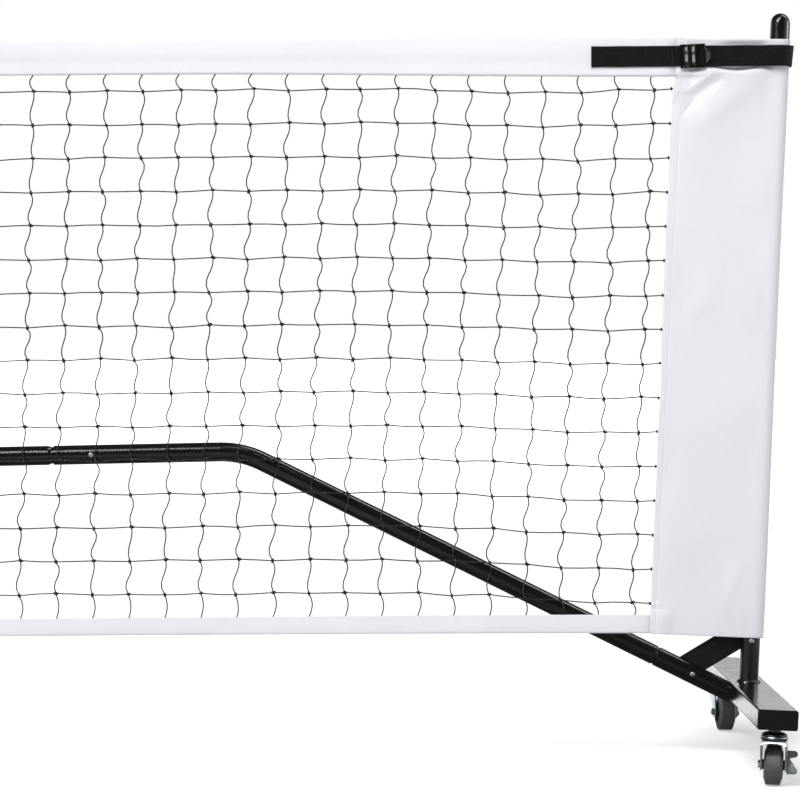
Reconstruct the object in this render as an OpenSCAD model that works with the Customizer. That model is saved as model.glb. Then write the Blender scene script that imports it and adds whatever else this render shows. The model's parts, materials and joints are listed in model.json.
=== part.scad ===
// Portable court net on a wheeled frame. Millimetres, +Z up, X along the net, front towards -Y.
// The origin is on the floor under the middle of the net.

/* [Net] */
// Distance between the two post axes at the top edge of the net
net_span = 6706; // [6100:1:7000]
// Height of the net's top edge at the posts
post_net_z = 914; // [860:1:940]
// Height of the net's top edge in the middle
centre_net_z = 864; // [830:1:900]
// Height of the whole net, from its top edge to its lower edge
net_h = 756; // [740:1:762]
// Height of the folded tape along the top
top_band_h = 46; // [35:1:55]
// Height of the folded tape along the bottom
bottom_band_h = 21; // [15:1:30]
// Thickness of a folded tape, with the strings between its two layers
band_t = 5.6; // [5.2:0.1:6]
// Thickness of one layer of cloth
cloth_t = 0.7; // [0.5:0.1:0.9]
// Gap between the net's tapes and the middle tube behind them
net_gap = 0.7; // [0.5:0.1:2]
// Thickness of the net's string
string_d = 1.6; // [1:0.1:1.7]
// Number of level strings
row_count = 16; // [8:1:17]
// Distance between two level strings
row_pitch = 42.8; // [36:0.1:44]
// Distance from the top tape to the first level string
first_row = 18; // [8:1:22]
// Distance between two upright strings
column_pitch = 46.3; // [40:0.1:60]
// Length of an upright string that is sewn into a tape
tuck = 12; // [4:1:16]

/* [Side panels] */
// Distance from a post's axis to the inner edge of its cloth panel, at the net's top edge
panel_reach = 135; // [100:1:160]
// How much nearer that edge comes to the post at the net's lower edge
panel_taper = 4.5; // [0:0.5:16]
// Width of the sewn hem at the panel's inner edge
hem_w = 13; // [8:1:20]
// Slack between the cloth pocket and the post
pocket_gap = 0.4; // [0.3:0.1:1]

/* [Tubes] */
// Outer diameter of the posts and rails
tube_od = 25; // [24:0.5:28]
// Wall of the posts and rails
tube_wall = 1.5; // [1.2:0.1:2]
// Wall of a tube or tube end that fits inside another
inner_wall = 1.2; // [1:0.1:1.5]
// Gap all round between a tube and the one inside it
tube_fit = 0.1; // [0.05:0.05:0.3]
// Length of a narrowed tube end inside its socket
swage_len = 90; // [75:1:100]
// Length of the taper between a tube and its narrowed end
taper_len = 4; // [2:0.5:6]

/* [Posts] */
// Outward lean of a post and its foot, in degrees
post_lean = 2.62; // [1:0.01:3.5]
// Rise of a post's tube above the net's top edge
post_rise = 20.5; // [18:0.5:60]
// Length of the stub on the foot beam that holds a post
stub_len = 112; // [105:1:140]
// Distance from the foot beam to the post's snap button
post_button_up = 53; // [44:1:56]
// Distance from the foot beam to the lower edge of the side panel
panel_up = 57.2; // [57:0.1:62]

/* [Foot beams] */
// Length of a foot beam's tube
beam_len = 604; // [560:1:700]
// Width of a foot beam
beam_w = 48; // [44:1:56]
// Height of a foot beam
beam_h = 24; // [22:1:26]
// Wall of a foot beam
beam_wall = 1.5; // [1.2:0.1:2]
// Corner radius of a foot beam
beam_r = 2.5; // [2:0.1:3.5]
// Thickness of an end cap outside the beam
cap_t = 3; // [2:0.5:5]
// Depth of an end cap's plug inside the beam
plug_len = 12; // [8:1:16]
// Leg of a weld bead
bead = 3; // [2:0.5:4]

/* [Rails] */
// Rise of the sloped rail, in degrees
slope = 26.3; // [24:0.1:28]
// Fall of the long rail from the bend to the middle, in degrees
fall = 1.2; // [0.5:0.1:1.5]
// Height at which the sloped rail's axis meets the foot beam's side
rail_root_z = 81.6; // [80:0.1:86]
// Distance from the post's foot to the corner of the bent rail
corner_reach = 647; // [560:1:700]
// Bend radius of the bent rail
bend_r = 117; // [90:1:140]
// Length of the socket on the foot beam that holds the bent rail
socket_len = 104; // [90:1:120]
// Distance from the foot beam to the socket's snap button
socket_button_up = 54; // [44:1:60]
// Length of the sleeve that carries on the bent rail
sleeve_len = 209; // [195:1:240]
// Straight length of the bent rail between its bend and the sleeve
bend_end = 2; // [1:0.5:10]
// Length of bent rail inside the sleeve
bent_insert = 70; // [60:1:90]
// Distance from the mouth of a sleeve or rail to its snap button
rail_button_in = 48; // [40:1:55]
// Length of narrowed tube that shows at a joint
neck = 3; // [2:0.5:5]

/* [Brace] */
// Angle of the brace plate, in degrees
brace_angle = 31; // [28:0.5:34]
// Width of the brace plate
brace_w = 31; // [24:0.5:34]
// Thickness of the brace plate
brace_t = 3; // [2:0.5:4]
// Height at which the plate's lower edge meets the post
brace_z = 137; // [132:1:140]

/* [Middle stand] */
// Length of the middle foot beam's tube
centre_beam_len = 500; // [420:1:560]
// Height of the rubber pads under the middle foot beam
pad_h = 10; // [6:1:14]
// Diameter of a rubber pad
pad_d = 40; // [30:1:44]
// Distance from the beam's end to a pad's axis
pad_inset = 32; // [26:1:40]
// Height of the upright tube's mouth above the floor
stand_top_z = 470; // [450:1:500]
// Wall of the collar where the rails meet the upright tube
collar_wall = 1.4; // [1:0.1:1.6]
// Height of that collar
collar_h = 40; // [36:1:48]
// Length of a rail socket on the collar, from the stand's axis
centre_socket_len = 84; // [80:1:100]
// Length of rail inside that socket
centre_swage_len = 60; // [56:1:62]
// Distance from a middle socket's mouth to its snap button
centre_button_in = 32; // [28:1:36]
// Gap between the rod's cap and the pocket above it
rod_top_gap = 0.4; // [0.3:0.1:2]
// Distance from the stand's mouth to the rod's snap button
rod_button_in = 30; // [24:1:40]
// Height of the cloth pocket that holds the rod's top
pocket_h = 60; // [46:1:90]
// Width of the pocket's sewn flange
flange_w = 12; // [8:1:20]

/* [Snap buttons] */
// Diameter of a snap button
button_d = 6; // [5:0.1:7]
// Height of a button above the outer tube
button_out = 1.2; // [0.8:0.1:1.6]
// Width of the rim that keeps a button in its tube
button_rim = 0.8; // [0.6:0.1:1]
// Running gap between a button and its hole
button_fit = 0.05; // [0.03:0.01:0.09]
// Width of the leaf spring
leaf_w = 8; // [6:0.5:9]
// Thickness of the leaf spring
leaf_t = 0.6; // [0.4:0.1:0.8]
// Length of the leaf spring from its button to its bend
leaf_len = 26; // [20:1:30]

/* [Casters] */
// Overall height of a caster
caster_h = 70.5; // [68:0.5:76]
// Diameter of a wheel
wheel_d = 48; // [44:0.5:49]
// Width of a wheel
wheel_w = 22.5; // [20:0.5:24]
// Width of the flat part of the tread
tread_w = 16.6; // [12:0.1:18]
// Depth of the tread's bevelled edge
tread_drop = 7; // [1:0.1:8]
// Diameter of the wheel's plastic body
hub_d = 30; // [27:0.5:32]
// Distance from the swivel axis to the axle
trail = 19; // [16:0.5:22]
// Distance from a foot beam's end to the swivel axis
stem_inset = 26; // [24:1:60]
// Swivel of the locking casters at rest, in degrees
lock_turn = 9; // [-20:0.5:20]
// Swivel of the plain casters at rest, in degrees
plain_turn = 6; // [-20:0.5:20]
// Inside width of the fork
fork_gap = 27.4; // [27:0.1:31]
// Thickness of the fork's plate
fork_t = 2; // [1.6:0.1:2.4]
// Diameter of the fork's rim
rim_d = 33; // [31:0.5:35]
// Width of a fork's leg at its top
shoulder_w = 34; // [32:0.5:36]
// Radius of the fork's leg round the axle
eye_r = 7.5; // [7:0.1:8]
// Length of the stem above the foot beam's lower face
stem_up = 14.5; // [12:0.5:17]
// Height of the nut on the stem
stem_nut_h = 6.5; // [5:0.5:8]
// Width across the corners of the stem's nut
stem_nut_d = 15; // [13:0.5:17]
// Diameter of the stem
stem_d = 8; // [6:0.5:10]
// Diameter of the axle
axle_d = 6; // [5:0.5:7]
// Running gap all round an axle or stem
pin_fit = 0.05; // [0.03:0.01:0.09]
// Thickness of the lock lever's plate
lever_t = 1.5; // [1.2:0.1:2]
// Reach of the lock lever's ears from the fork
ear_reach = 12.5; // [9:0.5:14]

/* [Strap] */
// Width of the webbing
strap_w = 26.4; // [20:0.2:27]
// Thickness of the webbing
strap_t = 1.5; // [1:0.1:1.8]
// Distance from the post's axis to the strap's free end
strap_tail = 240; // [200:1:280]
// Distance from the post's axis to the strap's sewn end behind the tape
strap_back = 200; // [160:1:240]
// Distance from the net's top edge to the strap's middle
strap_drop = 23; // [18:0.5:24]
// Distance from the post's axis to the buckle's middle
buckle_reach = 108; // [90:1:150]
// Length of the buckle along the strap
buckle_len = 40; // [34:1:46]
// Thickness of the buckle in front of the strap
buckle_t = 3.2; // [2.4:0.1:4]
// Width of a buckle side rail
buckle_rail = 2.2; // [1.6:0.1:3]

/* [Hidden] */
$fn = 48;

// Gap where two soft or seated pieces lie against each other
seat_gap = 0.3;
// Overlap of a cutting shape past the face that it cuts
over = 1;
black = "#151515";
zinc = "#c8d4da";
white = "#ecedf3";
right = 1;
left = -1;

// Foot beam and post: the foot leans with its post, so its heights run along the post's axis
beam_top = caster_h + beam_h;
wheel_r = wheel_d / 2;
// Height of the foot's origin that puts the edge of a leaning tread on the floor
function wheel_dip(turn) = sin(post_lean) * (trail * sin(turn) + tread_w / 2 * cos(turn))
    + wheel_r * (sqrt(1 - pow(sin(post_lean) * cos(turn), 2)) - cos(post_lean));
foot_lift = max(wheel_dip(lock_turn), wheel_dip(plain_turn));
beam_inner_x = post_x(rail_root_z) - beam_w / 2 / cos(post_lean);
beam_end = beam_len / 2 + cap_t;
stem_y = beam_end - stem_inset;
post_len = (post_net_z + post_rise - foot_lift) / cos(post_lean) - beam_top;

// Tubes
tube_r = tube_od / 2;
bore_r = tube_r - tube_wall;
inner_r = bore_r - tube_fit;
inner_bore_r = inner_r - inner_wall;

// Rails: distances run along the long rail's axis from the corner towards the middle
corner_x = post_x(beam_top) - corner_reach;
corner_z = rail_root_z + (beam_inner_x - corner_x) * tan(slope);
slope_len = (beam_inner_x - corner_x) / cos(slope);
bend_angle = slope + fall;
bend_tangent = bend_r * tan(bend_angle / 2);
bent_end = bend_tangent + bend_end;
sleeve_start = bent_end + seat_gap;
sleeve_end = sleeve_start + sleeve_len;
outer_start = sleeve_end + neck;
rail_end = corner_x / cos(fall);
centre_mouth = rail_end - centre_socket_len;
inner_end = centre_mouth - neck;
outer_end = (outer_start + inner_end) / 2;
inner_start = outer_end + neck;
collar_z = corner_z - corner_x * tan(fall);
// The wall is drawn thinner by this much on each face in the bend, which the straight tubes lap
bend_draw = 0.05;
bend_lap = 1;

// Middle stand
centre_beam_z = pad_h;
centre_beam_top = centre_beam_z + beam_h;
rod_cap_top = centre_net_z - 2 * cloth_t - rod_top_gap;
rod_top = rod_cap_top - inner_r;
rod_foot = stand_top_z - swage_len;

// Net
net_y = -tube_r - net_gap - band_t / 2;
layer_gap = 0.3;

// Buttons, as distances from a tube's axis
rim_t = 0.7;
button_tip = tube_r + button_out;
button_root = inner_bore_r - 1.8;
rim_top = button_root + rim_t;
button_round = 0.8;
leaf_bend = 3;
leaf_flat = 6;

// Moulded parts
cap_plug = 12;
plug_gap = beam_wall / 2;
plug_wall = 2;
pad_edge = 1;
pad_slope = 2;
bead_lap = 0.6;

// Casters
fork_half = fork_gap / 2 + fork_t;
cup_low = caster_h - 9.7;
plate_top = caster_h - 15.3;
cup_neck = 7.5;
rivet_r = 6;
rivet_h = 3;
stem_r = stem_d / 2;
rim_r = rim_d / 2;
bolt_head_h = 2.8;
nut_h = 3;
hex_r = 4.6;
hub_face = wheel_w / 2 - 0.6;
hub_recess = 3;
boss_r = 6;
tread_lip = 0.4;
lever_x = fork_half + seat_gap;
// A caster is its side, its end, its swivel angle and whether it locks
right_front = [right, -1, -lock_turn, true];
right_rear = [right, 1, 180 + plain_turn, false];
left_rear = [left, 1, 180 - lock_turn, true];
left_front = [left, -1, plain_turn, false];
casters = [right_front, right_rear, left_front, left_rear];

// Strap
strap_y = band_t / 2 + seat_gap + strap_t / 2 - net_y;
strap_z = post_net_z - strap_drop;
strap_post_x = post_x(strap_z);

// ---- Functions ----

// X of the right post's axis at a height
function post_x(z) = net_span / 2 - (post_net_z - z) * tan(post_lean);
// X of the right panel's inner edge at a height
function panel_edge_x(z) =
    post_x(z) - (panel_reach - panel_taper * (post_net_z - z) / net_h) / cos(post_lean);
// X of the net's end beside that edge
function edge_x(z) = panel_edge_x(z) - seat_gap;
// Height of the net's top edge
function top_z(x) =
    post_net_z - (post_net_z - centre_net_z) * pow(1 - min(abs(x) / (net_span / 2), 1), 2);
// A point of the net: u runs from -1 to 1 between its ends, d is the distance below its top edge
function net_point(u, d) =
    let (z = top_z(u * edge_x(post_net_z)) - d)
    [u * edge_x(z), z];
// Points along the net from end to end at one distance below the top edge
function net_line(d, n = 16) = [for (i = [-n:n]) net_point(i / n, d)];
function reversed(p) = [for (i = [len(p) - 1:-1:0]) p[i]];
// An arc about c from angle a to angle b
function arc(c, r, a, b, n = 8) =
    [for (i = [0:n]) c + r * [cos(a + (b - a) * i / n), sin(a + (b - a) * i / n)]];
function rounded(w, h, r) = concat(
    arc([w / 2 - r, h / 2 - r], r, 0, 90, 4), arc([r - w / 2, h / 2 - r], r, 90, 180, 4),
    arc([r - w / 2, r - h / 2], r, 180, 270, 4), arc([w / 2 - r, r - h / 2], r, 270, 360, 4));
function unit(v) = v / norm(v);
function turned(v) = [-v[1], v[0]];
// Mitred sideways step at point i of a path
function step_at(p, i) =
    let (a = unit(p[max(i, 1)] - p[max(i, 1) - 1]),
         b = unit(p[min(i + 1, len(p) - 1)] - p[min(i + 1, len(p) - 1) - 1]),
         m = unit(turned(a) + turned(b)))
    m / (m * turned(a));
// Outline of a band of thickness t that follows a path
function ribbon(p, t) = concat(
    [for (i = [0:len(p) - 1]) p[i] + step_at(p, i) * t / 2],
    [for (i = [len(p) - 1:-1:0]) p[i] - step_at(p, i) * t / 2]);
// Curve through two end points with two handles
function bezier(a, b, c, d, n = 6) = [for (i = [0:n]) let (t = i / n, s = 1 - t)
    s * s * s * a + 3 * s * s * t * b + 3 * s * t * t * c + t * t * t * d];
// Where the line through p at angle a meets the line through q at angle b
function meet(p, a, q, b) =
    p + [cos(a), sin(a)] * ((q - p) * [sin(b), -cos(b)]) / ([cos(a), sin(a)] * [sin(b), -cos(b)]);

// ---- Placing ----

module on_side(s) {
    if (s == left) mirror([1, 0, 0]) children();
    else children();
}
module on_both() {
    on_side(right) children();
    on_side(left) children();
}
// Z runs up the post's axis from the floor
module on_foot() translate([post_x(foot_lift), 0, foot_lift]) rotate([0, post_lean, 0]) children();
// Z runs up the post's axis from the foot beam's top
module on_post() on_foot() translate([0, 0, beam_top]) children();
// Z runs inwards up the sloped rail from the foot beam's side
module on_slope() translate([beam_inner_x, 0, rail_root_z]) rotate([0, slope - 90, 0]) children();
// Z runs inwards along the long rail from the corner
module on_rail() translate([corner_x, 0, corner_z]) rotate([0, -90 - fall, 0]) children();
module at_caster(c) translate([c[0] * post_x(foot_lift), c[1] * stem_y, foot_lift])
    rotate([0, c[0] * post_lean, 0]) rotate([0, 0, c[2]]) children();
module at_wheel(c) at_caster(c) translate([0, trail, wheel_r]) children();
// Extrudes an outline of the X-Z plane along Y, from y0 to y1
module upright(y0, y1) translate([0, y1, 0]) rotate([90, 0, 0]) linear_extrude(y1 - y0) children();
// Extrudes an outline of the Y-Z plane along X
module endwise(x0, x1) translate([x0, 0, 0]) rotate([90, 0, 90]) linear_extrude(x1 - x0) children();
// Z points to the front at a distance s along the current axis
module to_front(s) translate([0, 0, s]) rotate([90, 0, 0]) children();

// ---- Tubes ----

module tube(z0, z1, r, bore) difference() {
    translate([0, 0, z0]) cylinder(h = z1 - z0, r = r);
    translate([0, 0, z0 - over]) cylinder(h = z1 - z0 + 2 * over, r = bore);
}
module button_hole(s) to_front(s) translate([0, 0, bore_r / 2])
    cylinder(h = tube_r, r = button_d / 2 + button_fit);
// A tube from z0 to z1 whose low end narrows to fit a socket below z0
module swaged_tube(z0, z1, insert) rotate_extrude() polygon([
    [bore_r, z1], [tube_r, z1], [tube_r, z0 + taper_len], [inner_r, z0],
    [inner_r, z0 - insert], [inner_bore_r, z0 - insert], [inner_bore_r, z0],
    [bore_r, z0 + taper_len]]);
// The same with both ends narrowed
module double_swaged_tube(z0, z1, insert0, insert1) rotate_extrude() polygon([
    [inner_r, z0 - insert0], [inner_r, z0], [tube_r, z0 + taper_len], [tube_r, z1 - taper_len],
    [inner_r, z1], [inner_r, z1 + insert1], [inner_bore_r, z1 + insert1], [inner_bore_r, z1],
    [bore_r, z1 - taper_len], [bore_r, z0 + taper_len], [inner_bore_r, z0],
    [inner_bore_r, z0 - insert0]]);

// ---- Foot beams ----

module beam(len, z) difference() {
    translate([0, 0, z + beam_h / 2]) upright(-len / 2, len / 2) difference() {
        polygon(rounded(beam_w, beam_h, beam_r));
        polygon(rounded(beam_w - 2 * beam_wall, beam_h - 2 * beam_wall, beam_r - beam_wall / 2));
    }
    children();
}
module foot_beam(s) color(black) on_side(s) on_foot() beam(beam_len, caster_h)
    for (y = [-stem_y, stem_y]) translate([0, y, caster_h - over])
        cylinder(h = beam_wall + 2 * over, r = stem_r + tube_fit);
module end_cap(len, z) translate([0, 0, z + beam_h / 2]) {
    upright(-len / 2 - cap_t, -len / 2) polygon(rounded(beam_w, beam_h, beam_r));
    inset = 2 * (beam_wall + plug_gap);
    upright(-len / 2, plug_len - len / 2) difference() {
        square([beam_w - inset, beam_h - inset], center = true);
        square([beam_w - inset - 2 * plug_wall, beam_h - inset - 2 * plug_wall], center = true);
    }
}
module end_caps_of(len, z) for (turn = [0, 180]) rotate([0, 0, turn]) end_cap(len, z);
module beam_end_caps() color(black) {
    on_both() on_foot() end_caps_of(beam_len, caster_h);
    end_caps_of(centre_beam_len, centre_beam_z);
}
// A fillet of weld round a tube that stands on a flat face at height z
module weld_bead(r, z) translate([0, 0, z]) rotate_extrude()
    polygon(concat([[r - bead_lap, 0]], arc([r, 0], bead, 0, 90), [[r - bead_lap, bead]]));
module post_sockets() color(black) on_both() on_post() difference() {
    union() {
        cylinder(h = stub_len, r = tube_r);
        weld_bead(tube_r, 0);
    }
    translate([0, 0, -over]) cylinder(h = stub_len + 2 * over, r = bore_r);
    button_hole(post_button_up);
}
module frame_sockets() color(black) on_both() difference() {
    on_slope() difference() {
        translate([0, 0, -tube_od]) cylinder(h = socket_len + tube_od, r = tube_r);
        translate([0, 0, -tube_od - over]) cylinder(h = socket_len + tube_od + 2 * over, r = bore_r);
        button_hole(socket_button_up);
    }
    on_foot() translate([-beam_w / 2, -tube_od, 0]) cube([beam_w, 2 * tube_od, 2 * beam_top]);
}
module brace_plates() color(black) {
    foot = [beam_inner_x, rail_root_z];
    head = [post_x(brace_z), brace_z];
    low = head - [tube_r, 0];
    high = low + brace_w * [-sin(brace_angle), cos(brace_angle)];
    post_line = 90 - post_lean;
    on_both() difference() {
        upright(-brace_t / 2, brace_t / 2) polygon([
            meet(low, brace_angle, head, post_line), meet(high, brace_angle, head, post_line),
            meet(high, brace_angle, foot, -slope), meet(low, brace_angle, foot, -slope)]);
        on_post() cylinder(h = stub_len + beam_w, r = tube_r + tube_fit / 2);
        on_slope() translate([0, 0, -over]) cylinder(h = socket_len + beam_w, r = tube_r + tube_fit / 2);
    }
}

// ---- Posts ----

module post(s) color(black) on_side(s) on_post() difference() {
    swaged_tube(stub_len + seat_gap, post_len, swage_len);
    button_hole(post_button_up);
}
// A domed cap for a tube of radius r that ends at z
module dome_cap(z, r, plug) translate([0, 0, z]) rotate_extrude()
    polygon(concat([[0, -cap_plug], [plug, -cap_plug], [plug, 0]], arc([0, 0], r, 0, 90, 12)));
module post_caps() color(black) {
    on_both() on_post() dome_cap(post_len, tube_r, bore_r - tube_fit);
    dome_cap(rod_top, inner_r, inner_bore_r - tube_fit);
}

// ---- Rails ----

module bent_rail(s) color(black) on_side(s) difference() {
    union() {
        on_slope() swaged_tube(socket_len + seat_gap, slope_len - bend_tangent + bend_lap, swage_len);
        on_rail() translate([-bend_r, 0, bend_tangent]) rotate([-90, 0, 0])
            rotate_extrude(angle = bend_angle) translate([bend_r, 0]) difference() {
                circle(tube_r - bend_draw);
                circle(bore_r + bend_draw);
            }
        on_rail() rotate_extrude() polygon([
            [bore_r, bend_tangent - bend_lap], [tube_r, bend_tangent - bend_lap], [tube_r, bent_end],
            [inner_r, bent_end], [inner_r, bent_end + bent_insert],
            [inner_bore_r, bent_end + bent_insert], [inner_bore_r, bent_end],
            [bore_r, bent_end - inner_wall]]);
    }
    on_slope() button_hole(socket_button_up);
}
module rail_sleeves() color(black) on_both() on_rail() difference() {
    tube(sleeve_start, sleeve_end, tube_r, bore_r);
    button_hole(sleeve_end - rail_button_in);
}
module outer_rails() color(black) on_both() on_rail() difference() {
    swaged_tube(outer_start, outer_end, swage_len);
    button_hole(sleeve_end - rail_button_in);
    button_hole(outer_end - rail_button_in);
}
module inner_rails() color(black) on_both() on_rail() difference() {
    double_swaged_tube(inner_start, inner_end, swage_len, centre_swage_len);
    button_hole(outer_end - rail_button_in);
    button_hole(centre_mouth + centre_button_in);
}

// ---- Middle stand ----

module centre_beam() color(black) beam(centre_beam_len, centre_beam_z);
module centre_stand() color(black) difference() {
    union() {
        translate([0, 0, centre_beam_top]) cylinder(h = stand_top_z - centre_beam_top, r = tube_r);
        weld_bead(tube_r, centre_beam_top);
        translate([0, 0, collar_z - collar_h / 2]) cylinder(h = collar_h, r = tube_r + collar_wall);
        on_both() on_rail() translate([0, 0, centre_mouth])
            cylinder(h = centre_socket_len - tube_r, r = tube_r);
    }
    translate([0, 0, centre_beam_top - over])
        cylinder(h = stand_top_z - centre_beam_top + 2 * over, r = bore_r);
    on_both() on_rail() {
        translate([0, 0, centre_mouth - over])
            cylinder(h = centre_swage_len + 2 * over, r = bore_r);
        button_hole(centre_mouth + centre_button_in);
    }
    button_hole(stand_top_z - rod_button_in);
}
module centre_rod() color(black) difference() {
    tube(rod_foot, rod_top, inner_r, inner_bore_r);
    button_hole(stand_top_z - rod_button_in);
}
module rubber_pads() color("#2a2a2a") for (s = [-1, 1])
    translate([0, s * (centre_beam_len / 2 - pad_inset), 0]) rotate_extrude() polygon([
        [0, 0], [pad_d / 2 - pad_edge, 0], [pad_d / 2, pad_edge],
        [pad_d / 2 - pad_slope, pad_h], [0, pad_h]]);

// ---- Casters ----

// Fixed part of a caster: the threaded stem, the race cup under the beam and the riveted king pin
module caster_stems() color("#3a3d40") for (c = casters) at_caster(c) rotate_extrude() polygon([
    [0, plate_top - fork_t - rivet_h], [rivet_r - 1, plate_top - fork_t - rivet_h],
    [rivet_r, plate_top - fork_t - seat_gap], [stem_r, plate_top - fork_t - seat_gap],
    [stem_r, cup_low], [rim_r - 1.6, cup_low], [rim_r - 0.8, cup_low + 1],
    [rim_r - 1.6, cup_low + 2.6], [rim_r - 5, cup_low + 4.4], [cup_neck, cup_low + 5.2],
    [cup_neck, caster_h], [stem_r, caster_h], [stem_r, caster_h + stem_up - 1],
    [stem_r - 1, caster_h + stem_up], [0, caster_h + stem_up]]);
module stem_nuts() color(zinc) for (c = casters) at_caster(c)
    translate([0, 0, caster_h + beam_wall]) difference() {
        cylinder(h = stem_nut_h, d = stem_nut_d, $fn = 6);
        translate([0, 0, -over]) cylinder(h = stem_nut_h + 2 * over, r = stem_r + pin_fit);
    }
// Side outline of the fork in the Y-Z plane, from its top plate down to the axle
module fork_side() {
    half = shoulder_w / 2;
    top = plate_top - 4;
    eye = [trail, wheel_r];
    polygon(concat(
        bezier([-half, top], [1 - half, top - 14], eye + [-14, 12], eye - [eye_r, 0]),
        arc(eye, eye_r, 190, 350, 12),
        bezier(eye + [eye_r, 0], eye + [eye_r, 12], [half + 2, top - 12], [half, top]),
        [[half - 3, plate_top + over], [3 - half, plate_top + over]]));
}
// Front outline of the fork: one plate bent down on both sides
module fork_front() {
    bend = 5;
    half = fork_gap / 2 + fork_t / 2;
    z = plate_top - fork_t / 2;
    polygon(ribbon(concat(
        [[-half, 0]], arc([bend - half, z - bend], bend, 180, 90, 5),
        arc([half - bend, z - bend], bend, 90, 0, 5), [[half, 0]]), fork_t));
}
module fork(c) color(zinc) at_caster(c) difference() {
    union() {
        intersection() {
            endwise(-fork_half - over, fork_half + over) fork_side();
            upright(-shoulder_w, trail + shoulder_w) fork_front();
        }
        rotate_extrude() polygon([
            [stem_r + 3, plate_top - fork_t / 2], [rim_r - 3, plate_top - fork_t / 2],
            [rim_r - 3, cup_low - 3.4], [rim_r - 0.4, cup_low - 2.2],
            [rim_r, cup_low - 1.2], [rim_r - 0.4, cup_low - seat_gap],
            [rim_r - 2.2, cup_low - seat_gap], [rim_r - 4.4, cup_low - 2.6],
            [stem_r + 3, plate_top + 1.2]]);
    }
    cylinder(h = 2 * caster_h, r = stem_r + pin_fit);
    translate([0, trail, wheel_r]) rotate([0, 90, 0])
        cylinder(h = 2 * fork_half + 2 * over, r = axle_d / 2 + pin_fit, center = true);
}
// Axle bolt: hexagon head on one side, nut on the other, outside the lever where there is one
module axle(c) color(zinc) at_wheel(c) rotate([0, 90, 0]) {
    nut_z = fork_half + seat_gap / 2 + (c[3] ? lever_t + seat_gap : 0);
    translate([0, 0, -fork_half - seat_gap / 2 - bolt_head_h]) {
        cylinder(h = bolt_head_h, r = hex_r, $fn = 6);
        cylinder(h = fork_half + bolt_head_h + nut_z + nut_h + seat_gap / 2 + 1, r = axle_d / 2);
    }
    translate([0, 0, nut_z]) cylinder(h = nut_h, r = hex_r, $fn = 6);
}
module hub(c) color("#1c1c1c") at_wheel(c) rotate([0, 90, 0]) rotate_extrude() {
    bore = axle_d / 2 + pin_fit;
    rim = hub_d / 2 - pin_fit;
    boss = fork_gap / 2 - seat_gap;
    half = [[bore, boss], [boss_r, boss], [boss_r, hub_face - hub_recess],
        [rim - 3, hub_face - hub_recess], [rim - 1.5, hub_face], [rim, hub_face]];
    polygon(concat(half, reversed([for (p = half) [p[0], -p[1]]])));
}
module tyre(c) color("#585858") at_wheel(c) rotate([0, 90, 0]) rotate_extrude(convexity = 4) {
    shoulder = wheel_r - tread_drop;
    half = [[hub_d / 2, wheel_w / 2], [shoulder - tread_lip, wheel_w / 2],
        [shoulder, wheel_w / 2 - tread_lip], [wheel_r - tread_lip, tread_w / 2 + tread_lip],
        [wheel_r, tread_w / 2]];
    polygon(concat(half, reversed([for (p = half) [p[0], -p[1]]])));
}
// Stamped lock lever: a plate on the axle with two ears bent outwards
module lock_lever(c) color("#505c5f") at_wheel(c) difference() {
    ear_r = 4;
    top = 19;
    back = -8;
    union() {
        endwise(lever_x, lever_x + lever_t) polygon(concat(
            arc([0, 0], eye_r - 1, -60, 120, 10), [[back / 2, top], [back, top], [back, -9.5], [-2, -9.5]]));
        translate([lever_x, 0, 0]) upright(back, back + lever_t) polygon(concat(
            [[0, top], [ear_reach - ear_r - 2, top]],
            arc([ear_reach - ear_r, top - ear_r], ear_r, 80, -80, 8), [[4.5, 10.2], [3.2, 8.6], [5, 6.4]],
            arc([ear_reach - ear_r, -5.2], ear_r, 35, -80, 8), [[4, -9.4], [0, back]]));
    }
    rotate([0, 90, 0]) cylinder(h = 2 * (lever_x + lever_t), r = axle_d / 2 + pin_fit);
}

// ---- Snap buttons ----

module button() color(zinc) rotate_extrude() polygon([
    [0, button_root], [button_d / 2 + button_rim, button_root], [button_d / 2 + button_rim, rim_top],
    [button_d / 2, rim_top], [button_d / 2, button_tip - button_round],
    [button_d / 2 - button_round, button_tip - button_round / 4],
    [button_d / 2 - 2 * button_round, button_tip], [0, button_tip]]);
// V-shaped leaf behind a button; its bend lies towards +Z of the tube when way is 1
module leaf(s, way) translate([0, 0, s]) {
    arm = button_root - seat_gap - leaf_t / 2;
    path = concat(
        [[-way * leaf_flat, arm], [way * leaf_flat, arm]],
        [for (p = arc([leaf_len - leaf_bend, 0], leaf_bend, 80, -80, 6)) [way * p[0], p[1]]],
        [[way * leaf_flat, -arm - leaf_t], [way * leaf_flat / 3, -arm - leaf_t]]);
    rotate([90, 0, 90]) translate([0, 0, -leaf_w / 2]) linear_extrude(leaf_w)
        polygon([for (p = ribbon(path, leaf_t)) [-p[1], p[0]]]);
}
module post_button(s) on_side(s) on_post() to_front(post_button_up) button();
module socket_button(s) on_side(s) on_slope() to_front(socket_button_up) button();
module sleeve_button(s) on_side(s) on_rail() to_front(sleeve_end - rail_button_in) button();
module rail_button(s) on_side(s) on_rail() to_front(outer_end - rail_button_in) button();
module centre_button(s) on_side(s) on_rail() to_front(centre_mouth + centre_button_in) button();
module rod_button() to_front(stand_top_z - rod_button_in) button();
module button_springs() color("#9aa0a4") {
    on_both() {
        on_post() leaf(post_button_up, 1);
        on_slope() leaf(socket_button_up, 1);
        on_rail() {
            leaf(sleeve_end - rail_button_in, 1);
            leaf(outer_end - rail_button_in, 1);
            leaf(centre_mouth + centre_button_in, -1);
        }
    }
    leaf(stand_top_z - rod_button_in, 1);
}

// ---- Net ----

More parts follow.
